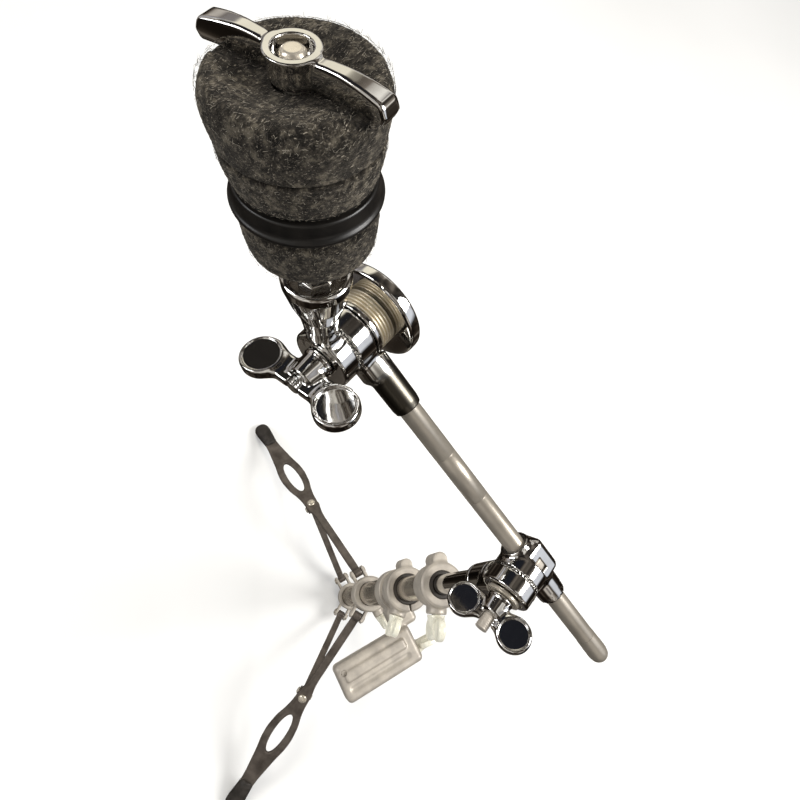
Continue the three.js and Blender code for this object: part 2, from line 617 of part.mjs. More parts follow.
function clampGroup() {
  const baseStep = BASE_TUBE_TOP - BASE_CLAMP_Z;
  const middleStep = MIDDLE_TUBE_TOP - MIDDLE_CLAMP_Z;
  const outerBase = BASE_TUBE_R + 4.8;
  const outerMiddle = MIDDLE_TUBE_R + 4.8;
  const base = groupOf(
    part('base_clamp', tubeClamp(outerBase, BASE_TUBE_R, baseStep, BASE_BOLT_ANGLE), SATIN_CHROME),
    part('base_bushing',
      tubeBushing(BASE_TUBE_R, BASE_TUBE_BORE, MIDDLE_TUBE_R, baseStep, CLAMP_H / 2), NYLON),
    radialScrew('base_wing_bolt', BASE_BOLT_ANGLE, outerBase + BOSS_REACH + GAP, 0,
      wingScrew(36, 7.6, BOLT_R, 8.5, 6, 8, 5)),
  );
  base.position.z = BASE_CLAMP_Z;
  const middle = groupOf(
    part('middle_clamp', tubeClamp(outerMiddle, MIDDLE_TUBE_R, middleStep, MIDDLE_BOLT_ANGLE),
      SATIN_CHROME),
    part('middle_bushing',
      tubeBushing(MIDDLE_TUBE_R, MIDDLE_TUBE_BORE, UPPER_TUBE_R, middleStep, CLAMP_H / 2), NYLON),
    radialScrew('middle_wing_bolt', MIDDLE_BOLT_ANGLE, outerMiddle + BOSS_REACH + GAP, 0,
      wingScrew(34, 7.5, BOLT_R, 8.5, 6, 8, 5)),
  );
  middle.position.z = MIDDLE_CLAMP_Z;
  return groupOf(base, middle);
}

function tubesGroup() {
  const glide = pipe(MIDDLE_TUBE_BORE - GAP, UPPER_TUBE_R - 2, UPPER_TUBE_BOTTOM - 12,
    UPPER_TUBE_BOTTOM - GAP, MEDIUM_ROUND);
  return groupOf(
    part('middle_tube',
      pipe(MIDDLE_TUBE_R, MIDDLE_TUBE_BORE, MIDDLE_TUBE_BOTTOM, MIDDLE_TUBE_TOP, MEDIUM_ROUND), CHROME),
    part('upper_tube',
      pipe(UPPER_TUBE_R, UPPER_TUBE_BORE, UPPER_TUBE_BOTTOM, UPPER_TUBE_TOP, MEDIUM_ROUND), CHROME),
    part('upper_tube_glide', glide, NYLON),
  );
}

function accessoryGroup() {
  const screw = part('accessory_wing_screw', alongX(wingScrew(38, 8.5, BOLT_R, 14, 6, 8, 5))
    .rotate([0, 0, 180]), SATIN_CHROME);
  screw.position.set(6 - GAP, SCREW_Y, 0);
  const group = groupOf(part('accessory_clamp', accessoryClamp(), SATIN_CHROME), screw);
  group.position.z = ACCESSORY_Z;
  group.rotation.z = ACCESSORY_ANGLE * DEGREE;
  return group;
}

function boomGroup() {
  const face = TILT_FACE_Y + 9;
  const fixed = groupOf(
    part('boom_tilter_socket', tilterSocket(), CHROME),
    part('boom_tilter_washer',
      alongY(pipe(8.4, BOLT_R + GAP, face + GAP, face + 2, MEDIUM_ROUND)), RIVET_STEEL),
    part('boom_wing_nut', alongY(wingNut(42.2, 8, BOLT_R + GAP, 6.4, 9, 5.5))
      .rotate([0, BOOM_WING_TURN, 0]).translate([0, face + 2 + GAP, 0]), CHROME),
  );
  const tilted = groupOf(
    part('boom_clamp', boomClamp(), CHROME),
    part('boom_liner', boomLiner(), NYLON),
    part('boom_eye_bolt', boomEyeBolt(), SATIN_CHROME),
    part('boom_rod', boomRod(), SATIN_CHROME),
    part('boom_end_cap', boomEndCap(), SATIN_CHROME),
  );
  tilted.rotation.y = -BOOM_ELEVATION * DEGREE;
  const group = groupOf(fixed, tilted);
  group.position.z = BOOM_Z;
  return group;
}

function cymbalGroup() {
  const washerBack = DRUM_BACK - GAP - 2.2;
  const ringBack = washerBack - GAP - RIBS * RIB_PITCH;
  const discBack = ringBack - GAP - 5.7;
  const base = part('cymbal_tilter_base', cymbalTilterBase(), CHROME);
  base.rotation.y = -BOOM_ELEVATION * DEGREE;
  const pivot = groupOf(
    base,
    part('thrust_washer', alongY(pipe(13.4, BOLT_R + GAP, washerBack, DRUM_BACK - GAP)), CHROME),
    part('friction_ring', frictionRing(ringBack), BRASS),
    part('end_disc', alongY(pipe(END_DISC_R, BOLT_R + GAP, discBack, ringBack - GAP, ROUND, 1)), CHROME),
    part('cymbal_tilter_bolt', tilterBolt(discBack - GAP), CHROME),
    part('cymbal_tilter_wing_nut', alongY(wingNut(56, 9, BOLT_R + GAP, 7, 11, 5.5))
      .rotate([0, TILTER_WING_TURN, 0]).translate([0, 8.6 + GAP, 0]), CHROME),
  );

  const onRod = groupOf(
    part('cymbal_rod', rod(ROD_R, ROD_FOOT, ROD_TIP, SMALL_ROUND, 0.9), RIVET_STEEL),
    part('seat_washer',
      pipe(12, ROD_R + GAP, FELT_BOTTOM - 2.6, FELT_BOTTOM - GAP, MEDIUM_ROUND), CHROME),
    part('seat_nut', rod(6.2, SEAT_Z + GAP, FELT_BOTTOM - 2.6 - GAP, 6)
      .subtract(hole(ROD_R + GAP, 0, 90, SMALL_ROUND)), CHROME),
    part('lower_felt', felt(LOWER_FELT_R - 0.8, LOWER_FELT_R, FELT_BOTTOM, SLEEVE_LIP - GAP), FELT),
    part('seat_sleeve', seatSleeve(), BLACK_PLASTIC),
    part('upper_felt_1', felt(FELT_R - 2.6, FELT_R - 1.4, UPPER_FELT_BOTTOM, FELT_SPLIT - GAP), FELT),
    part('upper_felt_2', felt(FELT_R - 1, FELT_R, FELT_SPLIT, FELT_TOP), FELT),
    part('cymbal_wing_nut', cymbalWingNut().rotate([0, 0, WING_TURN]), CHROME),
  );
  onRod.position.set(ROD_X, ROD_Y, 0);
  const head = groupOf(part('cymbal_tilter_head', cymbalTilterHead(), CHROME), onRod);
  head.rotation.y = (90 - ROD_ELEVATION) * DEGREE;

  const group = groupOf(pivot, head);
  group.position.set(HEAD_X * Math.cos(BOOM_ELEVATION * DEGREE), 0,
    BOOM_Z + HEAD_X * Math.sin(BOOM_ELEVATION * DEGREE));
  return group;
}

const group = groupOf(
  baseGroup(), clampGroup(), tubesGroup(), accessoryGroup(), boomGroup(), cymbalGroup());
group.position.set(TUBE_X, TUBE_Y, 0);

export default group;
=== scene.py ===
"""Cymbal boom stand: detailed pieces, materials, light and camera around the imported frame."""

import bpy
import bmesh
import json
import math
import random
import numpy as np
from mathutils import Matrix, Vector

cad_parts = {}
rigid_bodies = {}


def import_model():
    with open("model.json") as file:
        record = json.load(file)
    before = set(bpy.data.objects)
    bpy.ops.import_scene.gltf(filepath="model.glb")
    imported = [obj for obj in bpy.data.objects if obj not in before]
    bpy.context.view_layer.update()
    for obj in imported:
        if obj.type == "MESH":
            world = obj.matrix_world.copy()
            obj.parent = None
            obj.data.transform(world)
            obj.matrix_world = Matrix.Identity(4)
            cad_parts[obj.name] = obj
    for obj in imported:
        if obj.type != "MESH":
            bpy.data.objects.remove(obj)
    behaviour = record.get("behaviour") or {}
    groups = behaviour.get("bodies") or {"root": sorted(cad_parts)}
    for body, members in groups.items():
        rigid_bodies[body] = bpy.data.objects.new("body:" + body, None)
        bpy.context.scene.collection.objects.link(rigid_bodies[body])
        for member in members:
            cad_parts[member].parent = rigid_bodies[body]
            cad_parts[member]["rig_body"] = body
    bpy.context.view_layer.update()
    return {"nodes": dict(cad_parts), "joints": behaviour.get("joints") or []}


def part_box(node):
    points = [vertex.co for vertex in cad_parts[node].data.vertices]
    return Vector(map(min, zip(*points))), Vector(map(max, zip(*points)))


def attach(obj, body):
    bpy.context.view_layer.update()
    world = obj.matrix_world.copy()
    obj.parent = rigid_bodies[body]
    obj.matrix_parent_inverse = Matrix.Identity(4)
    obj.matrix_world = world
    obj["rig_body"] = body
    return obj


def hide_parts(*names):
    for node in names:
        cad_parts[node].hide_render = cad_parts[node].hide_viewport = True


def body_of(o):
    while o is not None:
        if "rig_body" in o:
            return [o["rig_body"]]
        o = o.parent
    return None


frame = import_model()
JOINT = {j["name"]: j for j in frame["joints"]}
MM = 0.001

# ------------------------------------------------------------------ places, from the frame


def middle(node):
    low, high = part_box(node)
    return (low + high) / 2


TUBE = Vector((middle("base_tube").x, middle("base_tube").y, 0))
TILT = Vector(JOINT["boom_tilt"]["pos_m"])
BOOM_DIR = Vector(JOINT["boom_roll"]["axis"])
BOOM_OFFSET = (JOINT["boom_roll"]["pos_m"][1] - TILT.y) / MM
BOOM_LEAN = math.atan2(BOOM_DIR.z, BOOM_DIR.x)
PIVOT = Vector(JOINT["cymbal_tilt"]["pos_m"])
ROD_DIR = Vector(JOINT["top_nut_turn"]["axis"])
ROD_LEAN = math.atan2(ROD_DIR.x, ROD_DIR.z)


def turn(degrees, axis):
    return Matrix.Rotation(math.radians(degrees), 4, axis)


def move(x, y, z):
    """A shift given in millimetres."""
    return Matrix.Translation((x * MM, y * MM, z * MM))


AT_TUBE = Matrix.Translation(TUBE)
AT_TILT = Matrix.Translation(TILT)
ALONG_BOOM = AT_TILT @ Matrix.Rotation(-BOOM_LEAN, 4, "Y")
AT_PIVOT = Matrix.Translation(PIVOT)
BASE_AT_PIVOT = AT_PIVOT @ Matrix.Rotation(-BOOM_LEAN, 4, "Y")
ON_HEAD = AT_PIVOT @ Matrix.Rotation(ROD_LEAN, 4, "Y")
rod_at = ON_HEAD.inverted() @ Vector(JOINT["top_nut_turn"]["pos_m"])
ROD_X = rod_at.x / MM
ROD_Y = rod_at.y / MM
ON_ROD = ON_HEAD @ move(ROD_X, ROD_Y, 0)

PIVOT_R = 27.0         # bracket and collar pins, from the tube's axis
LINK = 126.0           # a brace from pin to pin, and a leg from its top pin to its knee pin
FOOT_CIRCLE = 276.0    # where the legs end, from the tube's axis
LEG_OFFSET = 7.0       # knee pin, under the leg's middle
BRACKET_Z = middle("bracket_pin_1").z / MM
COLLAR_Z = middle("collar_pin_1").z / MM
LEAN = math.acos((COLLAR_Z - BRACKET_Z) / (2 * LINK))
LEG_LEAN = LEAN + math.asin(LEG_OFFSET / LINK)
KNEE = math.sqrt(LINK * LINK - LEG_OFFSET * LEG_OFFSET)
LEG_LENGTH = (FOOT_CIRCLE - PIVOT_R) / math.sin(LEG_LEAN)

# What sits on the tube: heights, directions in degrees, and the tubes' outer and bore radii.
BASE_CLAMP_Z, MIDDLE_CLAMP_Z, ACCESSORY_Z = 364, 465, 329
BASE_BOLT, MIDDLE_BOLT, COLLAR_BOLT, ACCESSORY_WAY = 112, 126, 160.6, 68.3
BASE_TUBE, MIDDLE_TUBE, UPPER_TUBE = (12.7, 11.2), (9.5, 8.3), (6.35, 5.1)


def leg_angle(number):
    pin = middle(f"bracket_pin_{number}") - TUBE
    return math.atan2(pin.y, pin.x)


def radial(number):
    return AT_TUBE @ Matrix.Rotation(leg_angle(number), 4, "Z")


def leg_frame():
    """The leg's own frame, seen from the tube's axis: X down the leg, Z out of its upper face."""
    return move(PIVOT_R, 0, COLLAR_Z) @ Matrix.Rotation(math.pi / 2 - LEG_LEAN, 4, "Y")


# ------------------------------------------------------------------ mesh from lathe profiles


def mesh_object(name, verts, faces, smooth=True):
    mesh = bpy.data.meshes.new(name)
    mesh.from_pydata([tuple(v) for v in verts], [], [tuple(f) for f in faces])
    mesh.update()
    if smooth:
        mesh.polygons.foreach_set("use_smooth", [True] * len(mesh.polygons))
    obj = bpy.data.objects.new(name, mesh)
    bpy.context.scene.collection.objects.link(obj)
    return obj


def rounded(profile, radius, closed=False, steps=4):
    """Rounds a profile's corners. A point may carry its own radius as a third number."""
    points = [(p[0], p[1]) for p in profile]
    radii = [p[2] if len(p) > 2 else radius for p in profile]
    out = []
    n = len(points)
    for i in range(n):
        if not closed and i in (0, n - 1):
            out.append(points[i])
            continue
        b = Vector(points[i])
        a = Vector(points[i - 1]) - b
        c = Vector(points[(i + 1) % n]) - b
        cut = min(radii[i], a.length * 0.45, c.length * 0.45)
        if cut < 1e-4 or abs(a.normalized().dot(c.normalized())) > 0.999:
            out.append(points[i])
            continue
        p0 = b + a.normalized() * cut
        p1 = b + c.normalized() * cut
        for s in range(steps + 1):
            t = s / steps
            q = p0 * (1 - t) ** 2 + b * 2 * t * (1 - t) + p1 * t * t
            out.append((q.x, q.y))
    return out


def lathe(name, profile, radius=0.4, sides=72, closed=False, wobble=None):
    """A solid of revolution about Z, in millimetres. A closed profile makes a ring."""
    points = rounded(profile, radius, closed)
    verts, faces = [], []
    rings = []
    for r, z in points:
        if r < 1e-6:
            rings.append([len(verts)] * sides)
            verts.append((0, 0, z * MM))
            continue
        ring = []
        for k in range(sides):
            a = 2 * math.pi * k / sides
            rr = r + (wobble(a, z) if wobble else 0)
            ring.append(len(verts))
            verts.append((rr * math.cos(a) * MM, rr * math.sin(a) * MM, z * MM))
        rings.append(ring)
    count = len(rings)
    for i in range(count if closed else count - 1):
        a, b = rings[i], rings[(i + 1) % count]
        for k in range(sides):
            k1 = (k + 1) % sides
            quad = [a[k], a[k1], b[k1], b[k]]
            face = [v for j, v in enumerate(quad) if v != quad[j - 1]]
            if len(face) > 2:
                faces.append(face)
    obj = mesh_object(name, verts, faces)
    tidy_normals(obj)
    return obj


def tidy_normals(obj):
    bm = bmesh.new()
    bm.from_mesh(obj.data)
    bmesh.ops.recalc_face_normals(bm, faces=bm.faces)
    bm.to_mesh(obj.data)
    bm.free()


def ring_profile(inner, outer, z0, z1):
    return [(inner, z0), (outer, z0), (outer, z1), (inner, z1)]


# ------------------------------------------------------------------ mesh from distance fields
# A shape is a function from points (N x 3, in millimetres) to signed distances.


def length2(a, b):
    return np.sqrt(a * a + b * b)


def blend_union(a, b, k=1.5):
    h = np.clip(0.5 + 0.5 * (b - a) / k, 0, 1)
    return b + (a - b) * h - k * h * (1 - h)


def blend_cut(a, b, k=0.5):
    """a without b, with a soft edge."""
    return -blend_union(-a, b, k)


def blend_both(a, b, k=0.5):
    return -blend_union(-a, -b, k)


def cylinder(p, axis, radius, low, high, edge=0.4, at=(0, 0, 0)):
    """A cylinder along one of the axes 0, 1, 2, from low to high along it."""
    q = p - np.array(at, np.float32)
    others = [i for i in range(3) if i != axis]
    side = length2(q[:, others[0]], q[:, others[1]]) - radius + edge
    end = np.abs(q[:, axis] - (low + high) / 2) - (high - low) / 2 + edge
    return np.minimum(np.maximum(side, end), 0) + length2(np.maximum(side, 0), np.maximum(end, 0)) - edge


def cone(p, axis, profile, edge=0.5, at=(0, 0, 0)):
    """A turned shape along an axis whose radius follows (station, radius) pairs."""
    q = p - np.array(at, np.float32)
    others = [i for i in range(3) if i != axis]
    stations = [s for s, _ in profile]
    along = q[:, axis]
    radius = np.interp(along, stations, [r for _, r in profile])
    side = (length2(q[:, others[0]], q[:, others[1]]) - radius) * 0.94
    end = np.abs(along - (stations[0] + stations[-1]) / 2) - (stations[-1] - stations[0]) / 2
    return blend_both(side, end, edge)


def box(p, half, at=(0, 0, 0), edge=0.6):
    q = np.abs(p - np.array(at, np.float32)) - np.array(half, np.float32) + edge
    outside = np.sqrt((np.maximum(q, 0) ** 2).sum(1))
    return outside + np.minimum(q.max(1), 0) - edge


def capsule(p, a, b, radius):
    a = np.array(a, np.float32)
    b = np.array(b, np.float32)
    t = np.clip(((p - a) @ (b - a)) / ((b - a) @ (b - a)), 0, 1)
    return np.sqrt(((p - a - t[:, None] * (b - a)) ** 2).sum(1)) - radius


def spun(p, degrees, axis=2):
    """Points turned the other way, so that the shape turns by degrees about an axis."""
    c, s = math.cos(math.radians(degrees)), math.sin(math.radians(degrees))
    q = p.copy()
    i, j = [(1, 2), (2, 0), (0, 1)][axis]
    q[:, i] = c * p[:, i] + s * p[:, j]
    q[:, j] = -s * p[:, i] + c * p[:, j]
    return q


def crossings(field, inside):
    """For each cell: the sum of the places where its edges cross the surface, and their number."""
    shape = np.array(field.shape)
    total = np.zeros(tuple(shape - 1) + (3,), np.float32)
    count = np.zeros(tuple(shape - 1), np.float32)

    def at(values, corner):
        return values[tuple(slice(c, n - 1 + c) for c, n in zip(corner, shape))]

    for start in np.ndindex(2, 2, 2):
        for axis in range(3):
            if start[axis]:
                continue
            end = tuple(start[i] + (i == axis) for i in range(3))
            a, b = at(field, start), at(field, end)
            cross = at(inside, start) != at(inside, end)
            t = np.where(cross, a / np.where(cross, a - b, 1), 0)
            count += cross
            for i in range(3):
                total[..., i] += np.where(cross, start[i] + (t if i == axis else 0), 0)
    return total, count


def quads(axis, inside, index):
    """The four cells around each grid edge along an axis that crosses the surface."""
    b, c = (axis + 1) % 3, (axis + 2) % 3
    near, far = [slice(1, -1)] * 3, [slice(1, -1)] * 3
    near[axis], far[axis] = slice(0, -1), slice(1, None)
    first, second = inside[tuple(near)], inside[tuple(far)]
    where = np.argwhere(first != second)
    out = first[first != second]
    where[:, [b, c]] += 1
    corners = []
    for db, dc in ((-1, -1), (0, -1), (0, 0), (-1, 0)):
        cell = where.copy()
        cell[:, b] += db
        cell[:, c] += dc
        corners.append(index[cell[:, 0], cell[:, 1], cell[:, 2]])
    faces = np.stack(corners, 1)
    faces[~out] = faces[~out][:, ::-1]
    return faces


def nets(field, low, step):
    """Surface nets: one vertex in each cell that the surface crosses, quads between them."""
    inside = field < 0
    total, count = crossings(field, inside)
    live = count > 0
    index = np.full(count.shape, -1, np.int64)
    index[live] = np.arange(live.sum())
    verts = (np.argwhere(live) + total[live] / count[live][:, None]) * step + low
    return verts, np.concatenate([quads(axis, inside, index) for axis in range(3)])


def carve(name, shape, low, high, step=0.45):
    """The mesh of a distance field inside a box, its vertices drawn onto the surface."""
    low = np.array(low, np.float32)
    sizes = np.ceil((np.array(high) - low) / step).astype(int) + 1
    axes = [low[i] + np.arange(sizes[i], dtype=np.float32) * step for i in range(3)]
    grid = np.stack(np.meshgrid(*axes, indexing="ij"), -1).reshape(-1, 3)
    parts = np.array_split(grid, max(1, len(grid) // 400000))
    field = np.concatenate([shape(part) for part in parts])
    verts, faces = nets(field.reshape(tuple(sizes)).astype(np.float32), low, step)
    small = 0.08
    for _ in range(2):
        here = shape(verts)
        slope = np.stack([shape(verts + np.eye(3)[i] * small) - here for i in range(3)], 1) / small
        size = np.maximum((slope ** 2).sum(1), 0.25)
        verts = verts - np.clip(here / size, -step, step)[:, None] * slope
    mesh = bpy.data.meshes.new(name)
    mesh.vertices.add(len(verts))
    mesh.vertices.foreach_set("co", (verts * MM).astype(np.float32).ravel())
    mesh.loops.add(faces.size)
    mesh.loops.foreach_set("vertex_index", faces.ravel().astype(np.int32))
    mesh.polygons.add(len(faces))
    mesh.polygons.foreach_set("loop_start", np.arange(0, faces.size, 4, dtype=np.int32))
    mesh.polygons.foreach_set("use_smooth", [True] * len(faces))
    mesh.update()
    mesh.validate()
    obj = bpy.data.objects.new(name, mesh)
    bpy.context.scene.collection.objects.link(obj)
    tidy_normals(obj)
    return obj


# ------------------------------------------------------------------ materials


def set_inputs(node, settings):
    """Sets sockets by name, with underscores for the spaces in it."""
    for key, value in settings.items():
        node.inputs[key.replace("_", " ")].default_value = value
    return node


def new_material(name, **settings):
    """A material, its node tree and its shader with these settings."""
    mat = bpy.data.materials.new(name)
    mat.use_nodes = True
    return mat, mat.node_tree, set_inputs(mat.node_tree.nodes["Principled BSDF"], settings)


def add_node(tree, kind, **settings):
    return set_inputs(tree.nodes.new(kind), settings)


def noise(tree, where, scale, detail=2, roughness=0.5, distortion=0, output="Fac"):
    node = add_node(tree, "ShaderNodeTexNoise", Scale=scale, Detail=detail, Roughness=roughness,
                    Distortion=distortion)
    tree.links.new(where, node.inputs["Vector"])
    return node.outputs[output]


def ramp(tree, value, stops):
    node = tree.nodes.new("ShaderNodeValToRGB")
    while len(node.color_ramp.elements) < len(stops):
        node.color_ramp.elements.new(0.5)
    for element, (where, colour) in zip(node.color_ramp.elements, stops):
        element.position = where
        element.color = (*colour, 1)
    tree.links.new(value, node.inputs["Fac"])
    return node.outputs["Color"]


def ranged(tree, value, low, high, start=0, end=1):
    """The value's stretch from start to end, spread from low to high."""
    node = add_node(tree, "ShaderNodeMapRange", From_Min=start, From_Max=end, To_Min=low, To_Max=high)
    tree.links.new(value, node.inputs["Value"])
    return node.outputs["Result"]


def mixed(tree, amount, below, above):
    """One colour laid over another by an amount."""
    node = add_node(tree, "ShaderNodeMixRGB", Color2=(*above, 1))
    tree.links.new(amount, node.inputs["Fac"])
    tree.links.new(below, node.inputs["Color1"])
    return node.outputs["Color"]


def bumped(tree, shader, height, strength, distance):
    node = add_node(tree, "ShaderNodeBump", Strength=strength, Distance=distance)
    tree.links.new(height, node.inputs["Height"])
    tree.links.new(node.outputs["Normal"], shader.inputs["Normal"])


def stretched(tree, scale=(1, 1, 1)):
    place = tree.nodes.new("ShaderNodeTexCoord")
    mapping = add_node(tree, "ShaderNodeMapping", Scale=scale)
    tree.links.new(place.outputs["Object"], mapping.inputs["Vector"])
    return mapping.outputs["Vector"]


def plated(name, dark, light, rough=(0.06, 0.16), cloud=60, scratch=(900, 900, 60), bump=0.04,
           metallic=1):
    """Plated metal: cloudy colour, and fine scratches in roughness and bump."""
    mat, tree, shader = new_material(name, Metallic=metallic)
    clouds = noise(tree, stretched(tree), cloud, 5, 0.6)
    tree.links.new(ramp(tree, clouds, [(0.3, dark), (0.62, light)]), shader.inputs["Base Color"])
    lines = noise(tree, stretched(tree, scratch), 1, 3, 0.7)
    tree.links.new(ranged(tree, lines, *rough, 0.35, 0.75), shader.inputs["Roughness"])
    bumped(tree, shader, lines, bump, 0.0002)
    return mat


def moulded(name, dark, light, rough, grain=900, bump=0.15):
    """Rubber or plastic: a little tone variation and a fine moulded grain."""
    mat, tree, shader = new_material(name, Specular_IOR_Level=0.5)
    where = stretched(tree)
    clouds = noise(tree, where, 120, 4, 0.6)
    tree.links.new(ramp(tree, clouds, [(0.35, dark), (0.7, light)]), shader.inputs["Base Color"])
    tree.links.new(ranged(tree, clouds, *rough), shader.inputs["Roughness"])
    bumped(tree, shader, noise(tree, where, grain), bump, 0.0003)
    return mat


def times_plus(tree, value, factor, plus):
    """value x factor + plus, where plus is a number or another node's output."""
    node = tree.nodes.new("ShaderNodeMath")
    node.operation = "MULTIPLY_ADD"
    tree.links.new(value, node.inputs[0])
    node.inputs[1].default_value = factor
    if isinstance(plus, float):
        node.inputs[2].default_value = plus
    else:
        tree.links.new(plus, node.inputs[2])
    return node.outputs["Value"]


def wool_streaks(tree, where):
    """Fine streaks that lie one way and wander."""
    push = tree.nodes.new("ShaderNodeVectorMath")
    push.operation = "MULTIPLY_ADD"
    tree.links.new(noise(tree, where, 130, 3, output="Color"), push.inputs[0])
    push.inputs[1].default_value = (0.004, 0.004, 0.004)
    tree.links.new(where, push.inputs[2])
    lay = add_node(tree, "ShaderNodeMapping", Rotation=(0.5, 0.7, 0.6), Scale=(2600, 500, 2600))
    tree.links.new(push.outputs["Vector"], lay.inputs["Vector"])
    return noise(tree, lay.outputs["Vector"], 1, 4, 0.65)


def felted(name):
    """Pressed wool felt: dark brown-grey, matted streaks and pale flecks."""
    mat, tree, shader = new_material(
        name, Roughness=0.95, Specular_IOR_Level=0.15, Sheen_Weight=0.12, Sheen_Roughness=0.5,
        Sheen_Tint=(0.6, 0.55, 0.48, 1))
    where = stretched(tree)
    streaks = wool_streaks(tree, where)
    clouds = times_plus(tree, noise(tree, where, 420, 5, 0.7), 0.95, -0.145)
    both = times_plus(tree, noise(tree, where, 110, 4, 0.7), 0.34, clouds)
    base = ramp(tree, both, [(0.40, (0.007, 0.006, 0.005)), (0.51, (0.028, 0.024, 0.019)),
                             (0.63, (0.11, 0.095, 0.072))])
    flecks = ramp(tree, streaks, [(0.56, (0, 0, 0)), (0.64, (0.3, 0.3, 0.3)), (0.72, (1, 1, 1))])
    tree.links.new(mixed(tree, flecks, base, (0.40, 0.35, 0.28)), shader.inputs["Base Color"])
    bumped(tree, shader, streaks, 0.8, 0.0006)
    return mat


def fibre_material(name, colour):
    mat, tree, shader = new_material(name, Roughness=0.8)
    tone = ramp(tree, noise(tree, stretched(tree), 500),
                [(0.35, tuple(c * 0.5 for c in colour)), (0.7, colour)])
    tree.links.new(tone, shader.inputs["Base Color"])
    return mat


MATERIAL = {
    "chrome": plated("chrome", (0.66, 0.65, 0.63), (0.80, 0.79, 0.77), (0.05, 0.10), bump=0.006),
    "tube_chrome": plated("tube_chrome", (0.36, 0.31, 0.25), (0.56, 0.50, 0.41), (0.16, 0.28), cloud=30,
                          scratch=(900, 900, 40), bump=0.01, metallic=0.75),
    "satin_chrome": plated("satin_chrome", (0.36, 0.325, 0.285), (0.55, 0.50, 0.43), (0.42, 0.54),
                           cloud=70, bump=0.02, metallic=0.4),
    "boom_chrome": plated("boom_chrome", (0.36, 0.325, 0.275), (0.47, 0.425, 0.36), (0.28, 0.38),
                          cloud=50, scratch=(60, 1400, 1400), bump=0.02, metallic=0.6),
    "leg_steel": plated("leg_steel", (0.075, 0.062, 0.052), (0.19, 0.162, 0.138), (0.32, 0.46),
                        cloud=45, bump=0.02, metallic=0.6),
    "rivet_steel": plated("rivet_steel", (0.60, 0.54, 0.44), (0.80, 0.73, 0.62), (0.2, 0.32),
                          metallic=0.7),
    "brass": plated("brass", (0.58, 0.50, 0.37), (0.76, 0.69, 0.55), (0.3, 0.42), cloud=200,
                    metallic=0.7),
    # Painted highlight: a near-white cream copy of the satin chrome for the wing bolts, bright as if
    # blown out in glare.
    "painted_highlight_chrome": plated("painted_highlight_chrome", (0.84, 0.81, 0.66), (0.94, 0.92, 0.80), (0.26, 0.36),
                           cloud=60, bump=0.01, metallic=0.2),
    "felt": felted("felt"),
    "black_plastic": moulded("black_plastic", (0.006, 0.0055, 0.005), (0.014, 0.012, 0.010),
                             (0.28, 0.4), grain=500, bump=0.05),
    "rubber": moulded("rubber", (0.016, 0.013, 0.010), (0.042, 0.035, 0.029), (0.5, 0.75)),
    "wool_dark": fibre_material("wool_dark", (0.035, 0.030, 0.025)),
    "wool_pale": fibre_material("wool_pale", (0.40, 0.36, 0.29)),
    "nylon": moulded("nylon", (0.03, 0.026, 0.022), (0.06, 0.05, 0.042), (0.35, 0.5)),
}


def put(obj, node, place, slot, material=None):
    """Sets a piece in place, in its material, on its CAD node's body."""
    obj.matrix_world = place
    obj.data.materials.clear()
    obj.data.materials.append(material or MATERIAL[slot])
    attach(obj, body_of(frame["nodes"][node])[0])
    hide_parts(node)
    return obj


def again(obj, name):
    """Another object of the same mesh."""
    copy = bpy.data.objects.new(name, obj.data)
    bpy.context.scene.collection.objects.link(copy)
    return copy


def lathed(node, word, profile, radius, place, slot, material=None, sides=72, closed=True):
    """A turned piece of a CAD node, set in place. Most are rings, with a closed profile."""
    return put(lathe(f"{node}_{word}", profile, radius, sides, closed), node, place, slot, material)


def carved(node, word, shape, low, high, step, place, slot, material=None):
    """A piece of a CAD node made from its distance field, set in place."""
    return put(carve(f"{node}_{word}", shape, low, high, step), node, place, slot, material)


# ------------------------------------------------------------------ tubes and their plastics


def tubes():
    for node, (outer, bore), z0, z1, look in (("base_tube", BASE_TUBE, 12, 352, "tube_chrome"),
                                              ("middle_tube", MIDDLE_TUBE, 130, 453, "tube_chrome"),
                                              ("upper_tube", UPPER_TUBE, 262, 574, "chrome")):
        lathed(node, "drawn", ring_profile(bore, outer, z0, z1), 0.35, AT_TUBE, "chrome", MATERIAL[look])
    plug = [(0, 7), (11.6, 7), (12.7, 8.2), (12.7, 11.7), (10.9, 11.7), (10.9, 26), (0, 26)]
    lathed("base_plug", "moulded", plug, 0.5, AT_TUBE, "rubber", closed=False)
    lathed("upper_tube_glide", "moulded", ring_profile(4.35, 8.0, 250, 261.7), 0.5, AT_TUBE, "nylon")
    step = -12
    for node, height, (tube, bore), inner in (
            ("base_bushing", BASE_CLAMP_Z, BASE_TUBE, MIDDLE_TUBE[0]),
            ("middle_bushing", MIDDLE_CLAMP_Z, MIDDLE_TUBE, UPPER_TUBE[0])):
        profile = [(inner + 0.3, step - 20), (bore - 0.3, step - 20), (bore - 0.3, step + 0.6),
                   (tube - 0.7, step + 0.6), (tube - 0.7, 12.4), (inner + 0.3, 12.4)]
        lathed(node, "moulded", profile, 0.3, AT_TUBE @ move(0, 0, height), "nylon")


# ------------------------------------------------------------------ tripod


def three_ears(p, ring, z, outer, bored):
    shape = ring
    for number in (1, 2, 3):
        q = spun(p, math.degrees(leg_angle(number)))
        for side in (-1, 1):
            ear = box(q, (7.5, 1.45, 5.4), (outer + 4.2, side * 6.6, z), 0.6)
            tip = cylinder(q, 1, 5.4, side * 6.6 - 1.45, side * 6.6 + 1.45, 0.5, (PIVOT_R - 0.4, 0, z))
            shape = blend_union(shape, np.minimum(ear, tip), 1.2)
            if not bored:
                head = cone(q * np.array([1, side, 1], np.float32), 1,
                            [(7.4, 4.0), (8.6, 3.7), (9.3, 2.6), (9.6, 1.2)], 0.3, (PIVOT_R, 0, z))
                shape = np.minimum(shape, head)
    return shape


